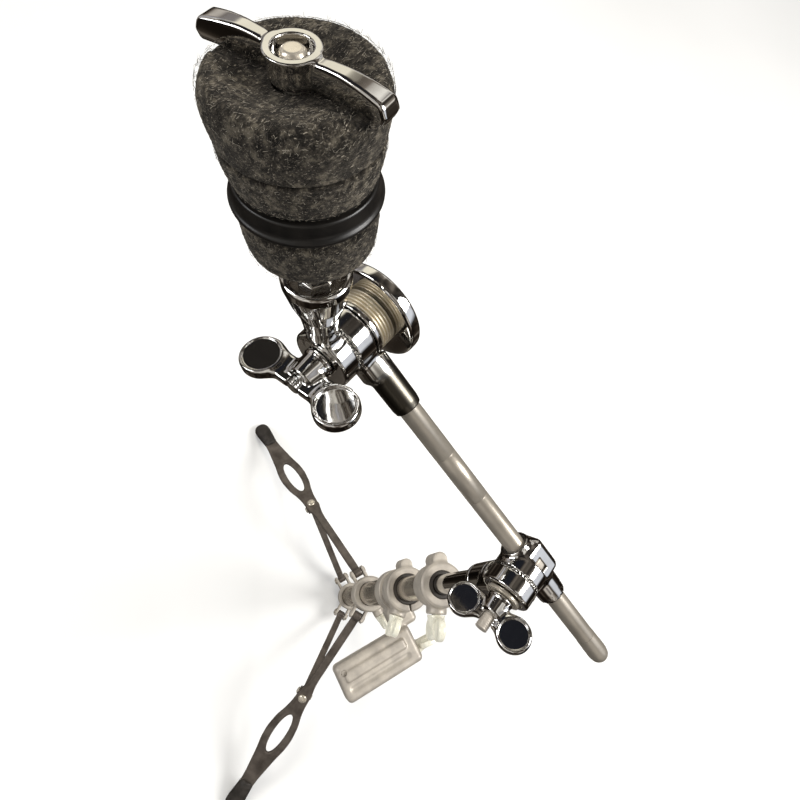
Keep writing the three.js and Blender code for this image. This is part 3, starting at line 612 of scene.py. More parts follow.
def bracket_shape(p):
    q = p - np.array((0, 0, BRACKET_Z), np.float32)
    ring = cylinder(q, 2, 17.0, -8, 8, 1.0)
    ring = np.minimum(ring, cylinder(q, 2, 17.6, 4.6, 6.6, 0.8))
    shape = three_ears(q, ring, 0, 17.0, True)
    for number in (1, 2, 3):
        bore = cylinder(spun(q, math.degrees(leg_angle(number))), 1, 2.7, -12, 12, 0.1, (PIVOT_R, 0, 0))
        shape = blend_cut(shape, bore, 0.3)
    return blend_cut(shape, cylinder(q, 2, 13.0, -20, 20, 0.1), 0.4)


def collar_shape(p):
    q = p - np.array((0, 0, COLLAR_Z), np.float32)
    ring = cylinder(q, 2, 18.8, -13, 13, 1.4)
    waist = cylinder(q, 2, 19.4, -9.5, -7.5, 0.9)
    ring = np.minimum(np.minimum(ring, waist), cylinder(q, 2, 19.4, 7.5, 9.5, 0.9))
    boss = cylinder(spun(q, COLLAR_BOLT), 0, 6.4, 10, 25.7, 0.8)
    shape = three_ears(q, blend_union(ring, boss, 2.5), 0, 19.0, False)
    shape = blend_cut(shape, cylinder(spun(q, COLLAR_BOLT), 0, 3.3, 8, 40, 0.1), 0.3)
    return blend_cut(shape, cylinder(q, 2, 13.0, -20, 20, 0.1), 0.4)


def leg_shape(p):
    """A pressed leg bar: necked at its rivet, widened round an eye-shaped opening, ribbed edges."""
    u, v, w = p[:, 0], p[:, 1], p[:, 2]
    middle_u = KNEE + 58
    stations = [-10, 6, 14, KNEE - 30, KNEE - 20, KNEE - 10, KNEE, KNEE + 12, KNEE + 24, KNEE + 38,
                middle_u, middle_u + 16, middle_u + 34, LEG_LENGTH - 50, LEG_LENGTH - 8]
    halves = [4.3, 4.3, 4.7, 4.7, 5.4, 7.5, 8.2, 8.9, 11.0, 14.8, 17, 16.2, 13.2, 9.2, 7]
    table = np.linspace(-10, LEG_LENGTH, 260)
    wide = np.interp(table, stations, halves)
    for _ in range(3):
        wide[2:-2] = (wide[:-4] + wide[1:-3] + wide[2:-2] + wide[3:-1] + wide[4:]) / 5
    half = np.interp(u, table, wide)
    slope = np.interp(u, table, np.gradient(wide, table))
    flat = (np.abs(v) - half) / np.sqrt(1 + slope * slope)
    flat = np.maximum(flat, np.maximum(3.0 - u, u - (LEG_LENGTH - 8)))
    eu, ev = (u - middle_u) / 31, v / 7.5
    k0 = length2(eu, ev)
    k1 = np.maximum(length2(eu / 31, ev / 7.5), 1e-6)
    eye = k0 * (k0 - 1) / k1
    flat = np.maximum(flat, -eye)
    crown = 1.6 + 0.45 * np.exp(-((flat + 1.6) / 1.1) ** 2) * (u > 14) * (u < LEG_LENGTH - 50)
    shape = blend_both(flat, (np.abs(w) - crown) * 0.9, 0.9)
    shape = blend_union(shape, cylinder(p, 1, 4.9, -4.3, 4.3, 0.5), 1.0)
    for side in (-1, 1):
        lug = box(p, (5.4, 1.3, (LEG_OFFSET + 3.2) / 2), (KNEE, side * 6.4, -(LEG_OFFSET + 3.2) / 2), 0.5)
        shape = blend_union(shape, lug, 0.8)
    shape = blend_cut(shape, cylinder(p, 1, 2.7, -12, 12, 0.1), 0.2)
    shape = blend_cut(shape, cylinder(p, 1, 2.7, -12, 12, 0.1, (KNEE, 0, -LEG_OFFSET)), 0.2)
    return blend_cut(shape, cylinder(p, 2, 2.9, -6, 6, 0.1, (KNEE, 0, 0)), 0.2)


def brace_shape(p):
    strip = box(p, (LINK / 2 - 1, 4.1, 1.3), (LINK / 2, 0, 0), 0.6)
    channel = box(p, (LINK / 2 - 14, 2.1, 0.7), (LINK / 2, 0, 1.5), 0.3)
    shape = blend_cut(strip, channel, 0.5)
    for x in (0, LINK):
        shape = blend_union(shape, cylinder(p, 1, 4.6, -4.2, 4.2, 0.5, (x, 0, 0)), 1.0)
    for x in (0, LINK):
        shape = blend_cut(shape, cylinder(p, 1, 2.7, -12, 12, 0.1, (x, 0, 0)), 0.2)
    return shape


def foot_shape(p):
    start, end = LEG_LENGTH - 40, LEG_LENGTH + 7
    q = p * np.array([1, 1, 1 / 0.86], np.float32)
    boot = cone(q, 0, [(start, 6.2), (start + 5, 8.8), (end - 14, 10.8), (end - 7, 10.6), (end - 3, 9.2),
                       (end - 1, 6.8), (end, 3.5)], 1.2) * 0.86
    for ring in range(4):
        groove = np.abs(p[:, 0] - (start + 10 + ring * 4.6)) - 0.7
        shell = -(length2(q[:, 1], q[:, 2]) - np.interp(p[:, 0], [start, end - 14], [7.4, 9.9]))
        boot = blend_cut(boot, np.maximum(groove, -shell), 0.6)
    slot = box(p, (32, 7.4, 1.9), (LEG_LENGTH - 38 + 0.3, 0, 0), 0.1)
    boot = blend_cut(boot, slot, 0.2)
    to_tube = leg_frame()
    height = (p[:, 0] * to_tube[2][0] + p[:, 1] * to_tube[2][1] + p[:, 2] * to_tube[2][2]
              + to_tube[2][3] / MM)
    return blend_both(boot, -height, 0.4)


def pins():
    """The first pin of each kind, standing along Z."""
    pin = {}
    for kind, half in (("bracket", 8.4), ("knee", 8.0)):
        end = half + 1.6
        headed = [(0, -end), (2.4, -end), (3.8, -half - 0.7), (3.8, -half), (2.4, -half),
                  (2.4, half), (3.8, half), (3.8, half + 0.7), (2.4, end), (0, end)]
        pin[kind] = lathe(f"{kind}_pin_1_domed", headed, 0.35, 32)
    plain = [(0, -4.7), (2.4, -4.7), (2.4, 4.7), (0, 4.7)]
    pin["collar"] = lathe("collar_pin_1_plain", plain, 0.3, 32)
    return pin


def tripod():
    for node, shape, z, half in (("leg_bracket", bracket_shape, BRACKET_Z, 10),
                                 ("leg_collar", collar_shape, COLLAR_Z, 15)):
        carved(node, "cast", shape, (-37, -37, z - half), (37, 37, z + half), 0.5, AT_TUBE,
               "satin_chrome")
    leg = carve("leg_1_pressed", leg_shape, (-7, -19, -12), (LEG_LENGTH - 6, 19, 6.5), 0.62)
    brace = carve("brace_1_pressed", brace_shape, (-6, -6, -6), (LINK + 6, 6, 6), 0.5)
    boot = carve("foot_1_moulded", foot_shape, (LEG_LENGTH - 42, -12, -11), (LEG_LENGTH + 9, 12, 11), 0.5)
    top = 1.9
    dome = [(0, -top), (2.6, -top), (2.6, top), (5.4, top), (5.2, top + 1.2), (3.7, top + 2.4),
            (0, top + 2.9)]
    rivet = lathe("neck_rivet_1_domed", dome, 0.5, 40)
    pin = pins()
    along_brace = move(PIVOT_R, 0, BRACKET_Z) @ Matrix.Rotation(LEAN - math.pi / 2, 4, "Y")
    knee = (PIVOT_R + LINK * math.sin(LEAN), 0, BRACKET_Z + LINK * math.cos(LEAN))
    across = turn(-90, "X")
    for number in (1, 2, 3):
        here = radial(number)
        down_leg = here @ leg_frame()
        for kind, obj, word, place, slot in (
                ("leg", leg, "pressed", down_leg, "leg_steel"),
                ("neck_rivet", rivet, "domed", down_leg @ move(KNEE, 0, 0), "rivet_steel"),
                ("foot", boot, "moulded", down_leg, "rubber"),
                ("brace", brace, "pressed", here @ along_brace, "leg_steel"),
                ("bracket_pin", pin["bracket"], "turned", here @ move(PIVOT_R, 0, BRACKET_Z) @ across,
                 "rivet_steel"),
                ("knee_pin", pin["knee"], "turned", here @ move(*knee) @ across, "rivet_steel"),
                ("collar_pin", pin["collar"], "turned", here @ move(PIVOT_R, 0, COLLAR_Z) @ across,
                 "rivet_steel")):
            piece = obj if number == 1 else again(obj, f"{kind}_{number}_{word}")
            put(piece, f"{kind}_{number}", place, slot)


# ------------------------------------------------------------------ tube clamps


def clamp_shape(outer, tube, bolt):
    """A tube clamp: a split ring with a hinge barrel, and a boss where its bolt goes in."""
    step = -11.7

    def shape(p):
        body = cylinder(p, 2, outer - 0.2, -12.9, 12.9, 1.2)
        body = np.minimum(body, cylinder(p, 2, outer + 0.5, 7.2, 12.2, 1.0))
        barrel = cylinder(spun(p, -48), 2, 5.1, -10.8, 10.8, 1.2, (outer + 2, 0, 0))
        split = box(spun(p, -48), (1.2, 6, 0.35), (outer + 6.8, 0, 0), 0.1)
        body = blend_union(body, blend_cut(barrel, split, 0.3), 2.0)
        q = spun(p, bolt)
        body = blend_union(body, cylinder(q, 0, 6.9, outer - 5, outer + 4.3, 0.9), 2.5)
        body = blend_cut(body, box(spun(p, bolt + 26), (6, 0.7, 15), (outer, 0, 0), 0.1), 0.3)
        body = blend_cut(body, cylinder(q, 0, 3.3, 0, outer + 20, 0.1), 0.3)
        body = blend_cut(body, cylinder(p, 2, tube + 0.3, -40, step, 0.1), 0.3)
        return blend_cut(body, cylinder(p, 2, tube - 0.4, -40, 40, 0.1), 0.5)
    return shape


def wing_bolt_shape(lobe, centre, hub_r, hub_h, shank, hole=0, foot=0.4):
    """A wing bolt or nut: its axis is Z and its lobes lie along X."""
    def shape(p):
        q = p.copy()
        q[:, 0] = np.abs(q[:, 0])
        head = cone(p, 2, [(0, hub_r), (1.2, hub_r), (2.2, hub_r * 0.93), (hub_h - 1, hub_r * 0.8),
                           (hub_h, hub_r * 0.7)], 0.5)
        middle_z = foot + lobe + 0.9
        disc = cylinder(q, 1, lobe - 0.1, -2.6, 2.6, 1.5, (centre, 0, middle_z))
        arm = box(q, (centre / 2, 2.1, lobe * 0.62), (centre / 2 + 0.5, 0, foot + lobe * 0.9), 1.5)
        disc = blend_union(disc, arm, 3.0)
        face = length2(q[:, 0] - centre, q[:, 2] - middle_z) - lobe + 1.5
        reach = np.maximum(face, 1.9 - np.abs(q[:, 1]))
        disc = blend_cut(disc, reach, 0.9)
        shape = blend_union(disc, head, 2.2)
        if shank:
            thread = 0.18 * np.cos(2 * math.pi * p[:, 2])
            stem = np.maximum(length2(p[:, 0], p[:, 1]) - 2.8 + thread,
                              np.abs(p[:, 2] + shank / 2 - 0.5) - shank / 2 - 0.5)
            shape = np.minimum(shape, stem * 0.8)
        if hole:
            shape = blend_cut(shape, cylinder(p, 2, hole, -5, 60, 0.1), 0.4)
        return shape
    return shape


def out_from_tube(angle, distance, height):
    return AT_TUBE @ turn(angle, "Z") @ move(distance, 0, height) @ turn(90, "Y")


def clamps():
    for node, outer, (tube, _), bolt, height in (
            ("base_clamp", 17.5, BASE_TUBE, BASE_BOLT, BASE_CLAMP_Z),
            ("middle_clamp", 14.3, MIDDLE_TUBE, MIDDLE_BOLT, MIDDLE_CLAMP_Z)):
        reach = outer + 9
        carved(node, "cast", clamp_shape(outer, tube, bolt), (-reach, -reach, -14), (reach, reach, 14),
               0.5, AT_TUBE @ move(0, 0, height), "satin_chrome")
    for node, sizes, half, below, place in (
            ("base_wing_bolt", (7.6, 10.4, 6, 8, 8.5), 19, 10,
             out_from_tube(BASE_BOLT, 22.3, BASE_CLAMP_Z)),
            ("middle_wing_bolt", (7.5, 9.5, 6, 8, 8.5), 18, 10,
             out_from_tube(MIDDLE_BOLT, 19.1, MIDDLE_CLAMP_Z)),
            ("collar_wing_bolt", (8, 10, 6.3, 8, 12), 19, 13, out_from_tube(COLLAR_BOLT, 26, COLLAR_Z))):
        # The wing bolts get the near-white copy of the satin chrome, a painted highlight.
        carved(node, "cast", wing_bolt_shape(*sizes), (-half, -7, -below), (half, 7, 18), 0.45, place,
               "satin_chrome", MATERIAL["painted_highlight_chrome"])


# ------------------------------------------------------------------ accessory clamp


def accessory_shape(p):
    jaw = cylinder(p, 2, 18.0, -10.9, 10.9, 1.4)
    neck = box(p, (11.6, 10.1, 9.6), (7, 19.5, 0), 4.0)
    body = box(p, (35.9, 15.9, 11.9), (42, 44, 0), 4.2)
    shape = blend_union(blend_union(jaw, neck, 4), body, 2.0)
    ridge = box(p, (28.5, 4.3, 3.4), (44, 40, 11.0), 2.0)
    shape = blend_union(shape, ridge, 1.6)
    groove = capsule(p, (18, 50.5, 13.4), (70, 50.5, 13.4), 2.6)
    shape = blend_cut(shape, groove, 1.4)
    seam = np.maximum(np.abs(p[:, 2] + 3.0) - 0.35, -(body + 0.8))
    shape = blend_cut(shape, np.maximum(seam, 20 - p[:, 0]), 0.3)
    screw = cylinder(p, 2, 2.4, 8, 20, 0.2, (72, 36, 0))
    shape = blend_cut(shape, screw, 0.4)
    shape = np.minimum(shape, cylinder(p, 2, 2.1, 8, 11.4, 0.5, (72, 36, 0)))
    shape = blend_cut(shape, cylinder(p, 0, 3.3, -10, 30, 0.1, (0, 50, 0)), 0.3)
    return blend_cut(shape, cylinder(p, 2, 13.0, -40, 40, 0.1), 0.4)


def accessory():
    place = AT_TUBE @ move(0, 0, ACCESSORY_Z) @ turn(ACCESSORY_WAY, "Z")
    carved("accessory_clamp", "cast", accessory_shape, (-20, -20, -13.5), (80, 62, 16), 0.6, place,
           "satin_chrome")
    # The wing screw gets the near-white copy of the satin chrome, a painted highlight.
    carved("accessory_wing_screw", "cast", wing_bolt_shape(8.5, 10.5, 6, 8, 14), (-21, -7, -15),
           (21, 7, 20), 0.45, place @ move(5.7, 50, 0) @ turn(-90, "Y"), "satin_chrome",
           MATERIAL["painted_highlight_chrome"])


# ------------------------------------------------------------------ boom and its tilter


def teeth(p, centre_y, radius, count=36):
    """Radial ratchet teeth on the rim of a disc whose axis is Y, met at centre_y."""
    angle = np.arctan2(p[:, 2], p[:, 0])
    notch = 0.4 * np.cos(angle * count)
    r = length2(p[:, 0], p[:, 2])
    return np.maximum(np.abs(p[:, 1] - centre_y) - 0.5 - notch * 0.6, radius - 2.4 - r)


def tilter_socket_shape(p):
    back, front = 2.3, 11.0
    disc = cylinder(p, 1, 11.9, back, front, 1.1)
    disc = blend_cut(disc, cylinder(p, 1, 9.2, front - 0.8, front + 5, 0.2), 0.5)
    disc = blend_cut(disc, teeth(p, back, 12), 0.25)
    sleeve = cylinder(p, 2, 8.8, -49.8, -21, 1.0)
    for groove in (-46, -25):
        cut = np.maximum(8.2 - length2(p[:, 0], p[:, 1]), np.abs(p[:, 2] - groove) - 0.5)
        sleeve = blend_cut(sleeve, cut, 0.4)
    neck = cone(p, 2, [(-30, 8.4), (-20, 7.4), (-10, 6.6), (0, 6.4)], 0.4, (0, 5.2, 0))
    block = box(p, (6.5, 4.3, 14), (0, 6.6, -14), 2.0)
    shape = blend_union(blend_union(sleeve, blend_both(neck, block, 1.0), 3.0), disc, 2.0)
    clear = cylinder(p, 1, 13.2, -30, back, 0.1)
    shape = blend_cut(shape, clear, 0.3)
    shape = blend_cut(shape, cylinder(p, 2, 6.65, -80, -25.7, 0.1), 0.4)
    return blend_cut(shape, cylinder(p, 1, 3.3, -30, 30, 0.1), 0.3)


def boom_clamp_shape(p):
    y0 = BOOM_OFFSET
    disc = cylinder(p, 1, 11.9, -6, 2, 1.0)
    disc = blend_cut(disc, teeth(p, 2.0, 12), 0.25)
    cheek = box(p, (9.9, 6.6, 8.9), (0, y0 - 2.3, 0), 3.6)
    nose = cone(p, 0, [(-24, 6.6), (-18, 7.0), (-10, 7.2), (11, 7.2), (13, 6.7)], 0.9, (0, y0, 0))
    shape = blend_union(blend_union(disc, cheek, 2.0), nose, 2.4)
    split = box(p, (30, 0.5, 10), (0, y0, -11), 0.1)
    shape = blend_cut(shape, np.maximum(split, np.abs(p[:, 0]) - 40), 0.3)
    shape = blend_cut(shape, cylinder(p, 0, 9.0, -3.4, 3.4, 0.1, (0, y0, 0)), 0.3)
    shape = blend_cut(shape, cylinder(p, 0, 6.3, -60, 60, 0.1, (0, y0, 0)), 0.4)
    return blend_cut(shape, cylinder(p, 1, 3.3, y0, 30, 0.1), 0.3)


def threaded_shank(p, axis, low, high):
    """A shank along an axis with a fine thread in it."""
    others = [i for i in range(3) if i != axis]
    thread = 0.16 * np.cos(2 * math.pi * p[:, axis])
    side = (length2(p[:, others[0]], p[:, others[1]]) - 2.8 + thread) * 0.8
    return np.maximum(side, np.abs(p[:, axis] - (low + high) / 2) - (high - low) / 2)


def eye_bolt_shape(p):
    y0 = BOOM_OFFSET
    eye = cylinder(p, 0, 8.5, -2.9, 2.9, 1.2, (0, y0, 0))
    shape = blend_union(eye, threaded_shank(p, 1, y0 + 7, 30), 0.8)
    return blend_cut(shape, cylinder(p, 0, 6.3, -9, 9, 0.1, (0, y0, 0)), 0.4)


def scribed_boom(rear, front):
    """The boom rod's profile along its length: chamfered ends and two scribed rings."""
    profile = [(0, rear), (4.75, rear, 0.8)]
    for at in (44.4, 70.6):
        profile += [(4.75, at - 0.45, 0), (4.5, at - 0.2, 0), (4.5, at + 0.2, 0), (4.75, at + 0.45, 0)]
    return profile + [(4.75, front, 0.8), (0, front)]


def boom():
    along = ALONG_BOOM @ move(0, BOOM_OFFSET, 0) @ turn(90, "Y")
    carved("boom_tilter_socket", "cast", tilter_socket_shape, (-13, -10, -51), (13, 13, 13), 0.42,
           AT_TILT, "chrome")
    carved("boom_clamp", "cast", boom_clamp_shape, (-25, -19, -13), (15, 3, 13), 0.42, ALONG_BOOM,
           "chrome")
    carved("boom_eye_bolt", "forged", eye_bolt_shape, (-4, -18, -10), (4, 31, 10), 0.4, ALONG_BOOM,
           "satin_chrome")
    lathed("boom_liner", "moulded", ring_profile(5.05, 6, -23, 12), 0.2, along, "nylon")
    lathed("boom_rod", "drawn", scribed_boom(-73, 120), 0.5, along, "boom_chrome", closed=False)
    cap = [(0, -77), (3.0, -77, 1.6), (4.5, -75.4, 1.6), (5.15, -72.0, 2.0), (5.05, -66, 2.0),
           (4.86, -58, 0.05), (4.8, -58, 0.05), (4.8, -73.3, 0.1), (0, -73.3)]
    lathed("boom_end_cap", "pressed", cap, 0.6, along, "boom_chrome", closed=False)
    lathed("boom_tilter_washer", "turned", ring_profile(3.3, 8.4, 11.3, 13), 0.35,
           AT_TILT @ turn(-90, "X"), "rivet_steel")
    carved("boom_wing_nut", "cast", wing_bolt_shape(8, 13.1, 6.2, 9, 0, 3.3, 1.35), (-22, -7, -1),
           (22, 7, 20), 0.42, AT_TILT @ turn(26, "Y") @ move(0, 13.3, 0) @ turn(-90, "X"), "chrome")


# ------------------------------------------------------------------ cymbal tilter


def darker_along_x(mat, start, end, colour, rough):
    """The material turns darker and duller between two places along the piece's own X."""
    tree = mat.node_tree
    shader = tree.nodes["Principled BSDF"]
    place = tree.nodes.new("ShaderNodeTexCoord")
    split = tree.nodes.new("ShaderNodeSeparateXYZ")
    tree.links.new(place.outputs["Object"], split.inputs["Vector"])
    part_way = ranged(tree, split.outputs["X"], 0, 1, start, end)
    for socket, value in (("Base Color", colour), ("Roughness", (rough, rough, rough))):
        before = shader.inputs[socket].links[0].from_socket
        tree.links.new(mixed(tree, part_way, before, value), shader.inputs[socket])
    return mat


def tilter_base_shape(p):
    drum = cylinder(p, 1, 12.9, -9.5, 0, 1.2)
    drum = blend_cut(drum, teeth(p, 0, 13, 40), 0.25)
    y0 = BOOM_OFFSET
    socket = cone(p, 0, [(-39, 5.8), (-36, 6.2), (-14, 6.4), (-12, 6.2)], 0.5, (0, y0, 0))
    lug = box(p, (7.7, 4.1, 5.4), (-13.7, -4.95, 0), 2.6)
    shape = blend_union(blend_union(socket, lug, 2.0), drum, 2.2)
    behind = cylinder(p, 1, 14.1, -40, -9.5, 0.1)
    shape = blend_cut(shape, behind, 0.3)
    shape = blend_cut(shape, cylinder(p, 0, 5.05, -60, -16.7, 0.1, (0, y0, 0)), 0.4)
    return blend_cut(shape, cylinder(p, 1, 3.3, -30, 30, 0.1), 0.3)


def tilter_head_shape(p):
    disc = cylinder(p, 1, 12.9, 0.3, 8.6, 1.2)
    disc = blend_cut(disc, teeth(p, 0.3, 13, 40), 0.25)
    outline = [(4, 5.9), (14, 6.1), (20, 6.4), (26, 7.2), (34, 9.6), (42, 11.3), (45, 11.4), (46, 10.6)]
    neck = cone(p, 2, outline, 0.9, (ROD_X, ROD_Y, 0))
    shape = blend_union(disc, neck, 2.4)
    near = np.maximum(p[:, 1] - 0.3, length2(p[:, 0], p[:, 2]) - 14.5)
    far = np.maximum(8.6 - p[:, 1], length2(p[:, 0], p[:, 2]) - 14.5)
    shape = blend_cut(blend_cut(shape, near, 0.3), far, 0.3)
    shape = blend_cut(shape, cylinder(p, 2, 3.3, 21.7, 80, 0.1, (ROD_X, ROD_Y, 0)), 0.4)
    return blend_cut(shape, cylinder(p, 1, 3.3, -30, 30, 0.1), 0.3)


def ribbed_ring(y0, ribs=5, pitch=1.5):
    profile = [(3.3, y0, 0.1), (11.6, y0, 0.2)]
    for rib in range(ribs):
        start = y0 + rib * pitch
        profile += [(11.75, start + 0.2, 0.1), (12.75, start + 0.5, 0.2), (12.75, start + 1.0, 0.2),
                    (11.75, start + 1.3, 0.1)]
    return profile + [(3.3, y0 + ribs * pitch, 0.1)]


def hexagon(p, corner_r):
    """Six flats about Z, and how far they are from it."""
    flat = corner_r * math.cos(math.pi / 6)
    sides = [np.abs(spun(p, 30 + 60 * k)[:, 0]) - flat for k in range(3)]
    return blend_both(blend_both(sides[0], sides[1], 0.5), sides[2], 0.5), flat


def seat_nut_shape(p):
    prism, flat = hexagon(p, 6.2)
    ends = np.abs(p[:, 2] - 51.7) - 5.4
    bevel = length2(p[:, 0], p[:, 1]) + ends * 1.7 - flat - 0.1
    solid = blend_both(blend_both(prism, ends, 0.6), bevel * 0.5, 0.3)
    return blend_cut(solid, cylinder(p, 2, 3.3, 41.3, 62.1, 0.1), 0.4)


def tilter_bolt_shape(p):
    prism, flat = hexagon(p, 6.4)
    head = blend_both(prism, np.abs(p[:, 2] + 28.1) - 2.0, 0.6)
    bevel = (length2(p[:, 0], p[:, 1]) - (p[:, 2] + 30.1) * 1.7 - flat + 0.3) * 0.5
    return np.minimum(blend_both(head, bevel, 0.4), threaded_shank(p, 2, -27, 24))


def cymbal_tilter():
    sleeve = darker_along_x(plated("sleeve_chrome", (0.62, 0.61, 0.59), (0.78, 0.77, 0.75), (0.06, 0.12),
                                   bump=0.006), -0.015, -0.022, (0.13, 0.12, 0.10), 0.3)
    carved("cymbal_tilter_base", "cast", tilter_base_shape, (-40.5, -16, -14), (14, 1.5, 14), 0.42,
           BASE_AT_PIVOT, "chrome", sleeve)
    carved("cymbal_tilter_head", "cast", tilter_head_shape, (-14, -9, -14), (15, 18, 47.5), 0.42,
           ON_HEAD, "chrome")
    across = AT_PIVOT @ turn(-90, "X")
    lathed("thrust_washer", "turned", ring_profile(3.3, 13.4, -12, -9.8), 0.6, across, "chrome")
    lathed("friction_ring", "turned", ribbed_ring(-19.8), 0.15, across, "brass")
    disc = [(3.3, -25.8), (20.2, -25.8, 0.8), (21, -25.0, 0.8), (21, -20.9, 0.8), (20.2, -20.1, 0.8),
            (3.3, -20.1)]
    lathed("end_disc", "turned", disc, 0.4, across, "chrome", sides=96)
    carved("cymbal_tilter_bolt", "forged", tilter_bolt_shape, (-7.5, -7.5, -31), (7.5, 7.5, 25), 0.38,
           across, "chrome")
    carved("cymbal_tilter_wing_nut", "cast", wing_bolt_shape(9, 19, 6.8, 11, 0, 3.3, 1.65),
           (-29, -8, -1), (29, 8, 22), 0.42,
           AT_PIVOT @ turn(20, "Y") @ move(0, 8.9, 0) @ turn(-90, "X"), "chrome")


# ------------------------------------------------------------------ cymbal rod, felts and sleeve


TOP_NUT_TURN = 6       # degrees, of the top wing nut's bar about the rod


def threaded_rod(p):
    foot, thread_from, tip = 22, 84, 114
    r = length2(p[:, 0], p[:, 1])
    angle = np.arctan2(p[:, 1], p[:, 0])
    thread = 0.17 * np.cos(2 * math.pi * p[:, 2] - angle) * (p[:, 2] > thread_from)
    ends = np.maximum(p[:, 2] - tip, foot - p[:, 2])
    side = (r - 2.98 + np.abs(thread) * 0.3 + thread * 0.7) * 0.85
    chamfer = (r + p[:, 2] - tip - 2.1) * 0.7
    return blend_both(np.maximum(side, ends), chamfer, 0.2)


def flowing(x, xs, ys):
    """A smooth line past the points (xs, ys), read at x."""
    fine = np.linspace(xs[0], xs[-1], 400)
    window = np.hanning(81)
    line = np.pad(np.interp(fine, xs, ys), 40, mode="reflect", reflect_type="odd")
    return np.interp(x, fine, np.convolve(line, window / window.sum(), "valid"))


def top_wing_nut(p):
    """Bowed bar of two wings with an upright front face, on a flared hub with a counterbore."""
    foot = 0.1
    x, y, z = np.abs(p[:, 0]), p[:, 1], p[:, 2]
    lift = flowing(x, [0, 5, 9, 14, 19, 24.6], [0.1, 0.1, 0.35, 0.7, 0.6, 0.1])
    crest = flowing(x, [0, 5, 8, 13, 18, 22, 24.6], [5.7, 5.9, 6.5, 6.7, 6.2, 5.4, 4.6])
    width = flowing(x, [0, 8, 16, 24.6], [2.0, 2.1, 2.6, 2.9])
    tip = np.interp(np.abs(z - 2.4), [0, 2.4], [24.5, 23.6])
    side = np.abs(y) - width + 0.25 * ((z - 3) / 3) ** 2
    bar = blend_both(blend_both(side, np.maximum(lift - z, z - crest) * 0.95, 0.9), x - tip, 1.0)
    hub = cone(p, 2, [(foot, 5.4), (1.2, 5.8), (4.4, 5.8), (6.0, 6.3), (6.6, 6.4)], 0.3)
    shape = blend_union(bar, hub, 1.0)
    shape = blend_cut(shape, cylinder(p, 2, 4.35, 3.4, 20, 0.2), 0.2)
    return blend_cut(shape, cylinder(p, 2, 3.3, -5, 20, 0.1), 0.3)


def felt_profile(bore, lower, upper, z0, z1, crown, edges):
    """A pressed felt's outline: soft corners, slightly barrelled side, slightly crowned top."""
    middle_r = (lower + upper) / 2 + 0.35
    low_edge, high_edge = edges
    return [(bore, z0 + 0.2, 0.5), (lower - low_edge * 1.3, z0 + 0.05, low_edge * 0.2),
            (lower - low_edge * 0.1, z0 + low_edge, low_edge), (middle_r, (z0 + z1) / 2, 2.0),
            (upper, z1 - high_edge * 1.2 + crown * 0.5, high_edge),
            (upper - high_edge, z1 + crown, high_edge), (upper * 0.72, z1 + crown * 0.85, 3.0),
            (upper * 0.44, z1 + crown * 0.1, 2.0), (bore, z1, 0.5)]


def refined(profile, step):
    """More points along a profile, so that the surface can be roughened."""
    out = []
    for i, point in enumerate(profile):
        a, b = Vector(point[:2]), Vector(profile[(i + 1) % len(profile)][:2])
        pieces = max(1, int((b - a).length / step))
        out += [tuple(a.lerp(b, k / pieces)) for k in range(pieces)]
    return out


def lumps(seed):
    """A seeded smooth random bump over angle and height."""
    rng = random.Random(seed)
    waves = [(rng.randint(3, 60), rng.uniform(0.3, 2.4), rng.uniform(0, 6.28), rng.uniform(0.4, 1.0))
             for _ in range(26)]

    def bump(a, z):
        return sum(w / (1 + n * 0.05) * math.sin(n * a + k * z + f) for n, k, f, w in waves) * 0.035
    return bump


def felt_piece(name, lower, upper, z0, z1, crown, edges, seed):
    """A felt with lumps and fuzz. A crowned one is pressed flat where the wing nut's bar lies."""
    profile = refined(rounded(felt_profile(5.2, lower, upper, z0, z1, crown, edges), 1.0, True, 5), 0.5)
    piece = lathe(name, profile, 0, 288, closed=True, wobble=lumps(seed))
    rng = np.random.default_rng(seed)
    verts = np.empty(len(piece.data.vertices) * 3, np.float32)
    piece.data.vertices.foreach_get("co", verts)
    verts = verts.reshape(-1, 3)
    outer = length2(verts[:, 0], verts[:, 1]) > 6 * MM
    if crown:
        way = math.radians(TOP_NUT_TURN)
        from_bar = np.abs(verts[:, 1] * math.cos(way) - verts[:, 0] * math.sin(way)) / MM
        keep = np.clip((from_bar - 2.2) / 4.5, 0, 1)
        over = np.maximum(verts[:, 2] - (z1 - 0.1) * MM, 0)
        verts[:, 2] -= over * (1 - keep * keep * (3 - 2 * keep))
    verts += rng.normal(0, 0.045 * MM, verts.shape) * outer[:, None]
    piece.data.vertices.foreach_set("co", verts.ravel())
    piece.data.update()
    return piece


def wrapped(point, at, out, widest, lowest, highest):
    """Keeps a fibre's point on the felt: at its own radius on the side, and inside the rim."""
    flat = Vector((point.x, point.y, 0))
    height = min(max(point.z, lowest), highest)
    radius = flat.length
    if out.x > 0.7:
        radius = at.x - out.y / out.x * (height - at.y)
    return flat.normalized() * min(radius, widest) + Vector((0, 0, height))


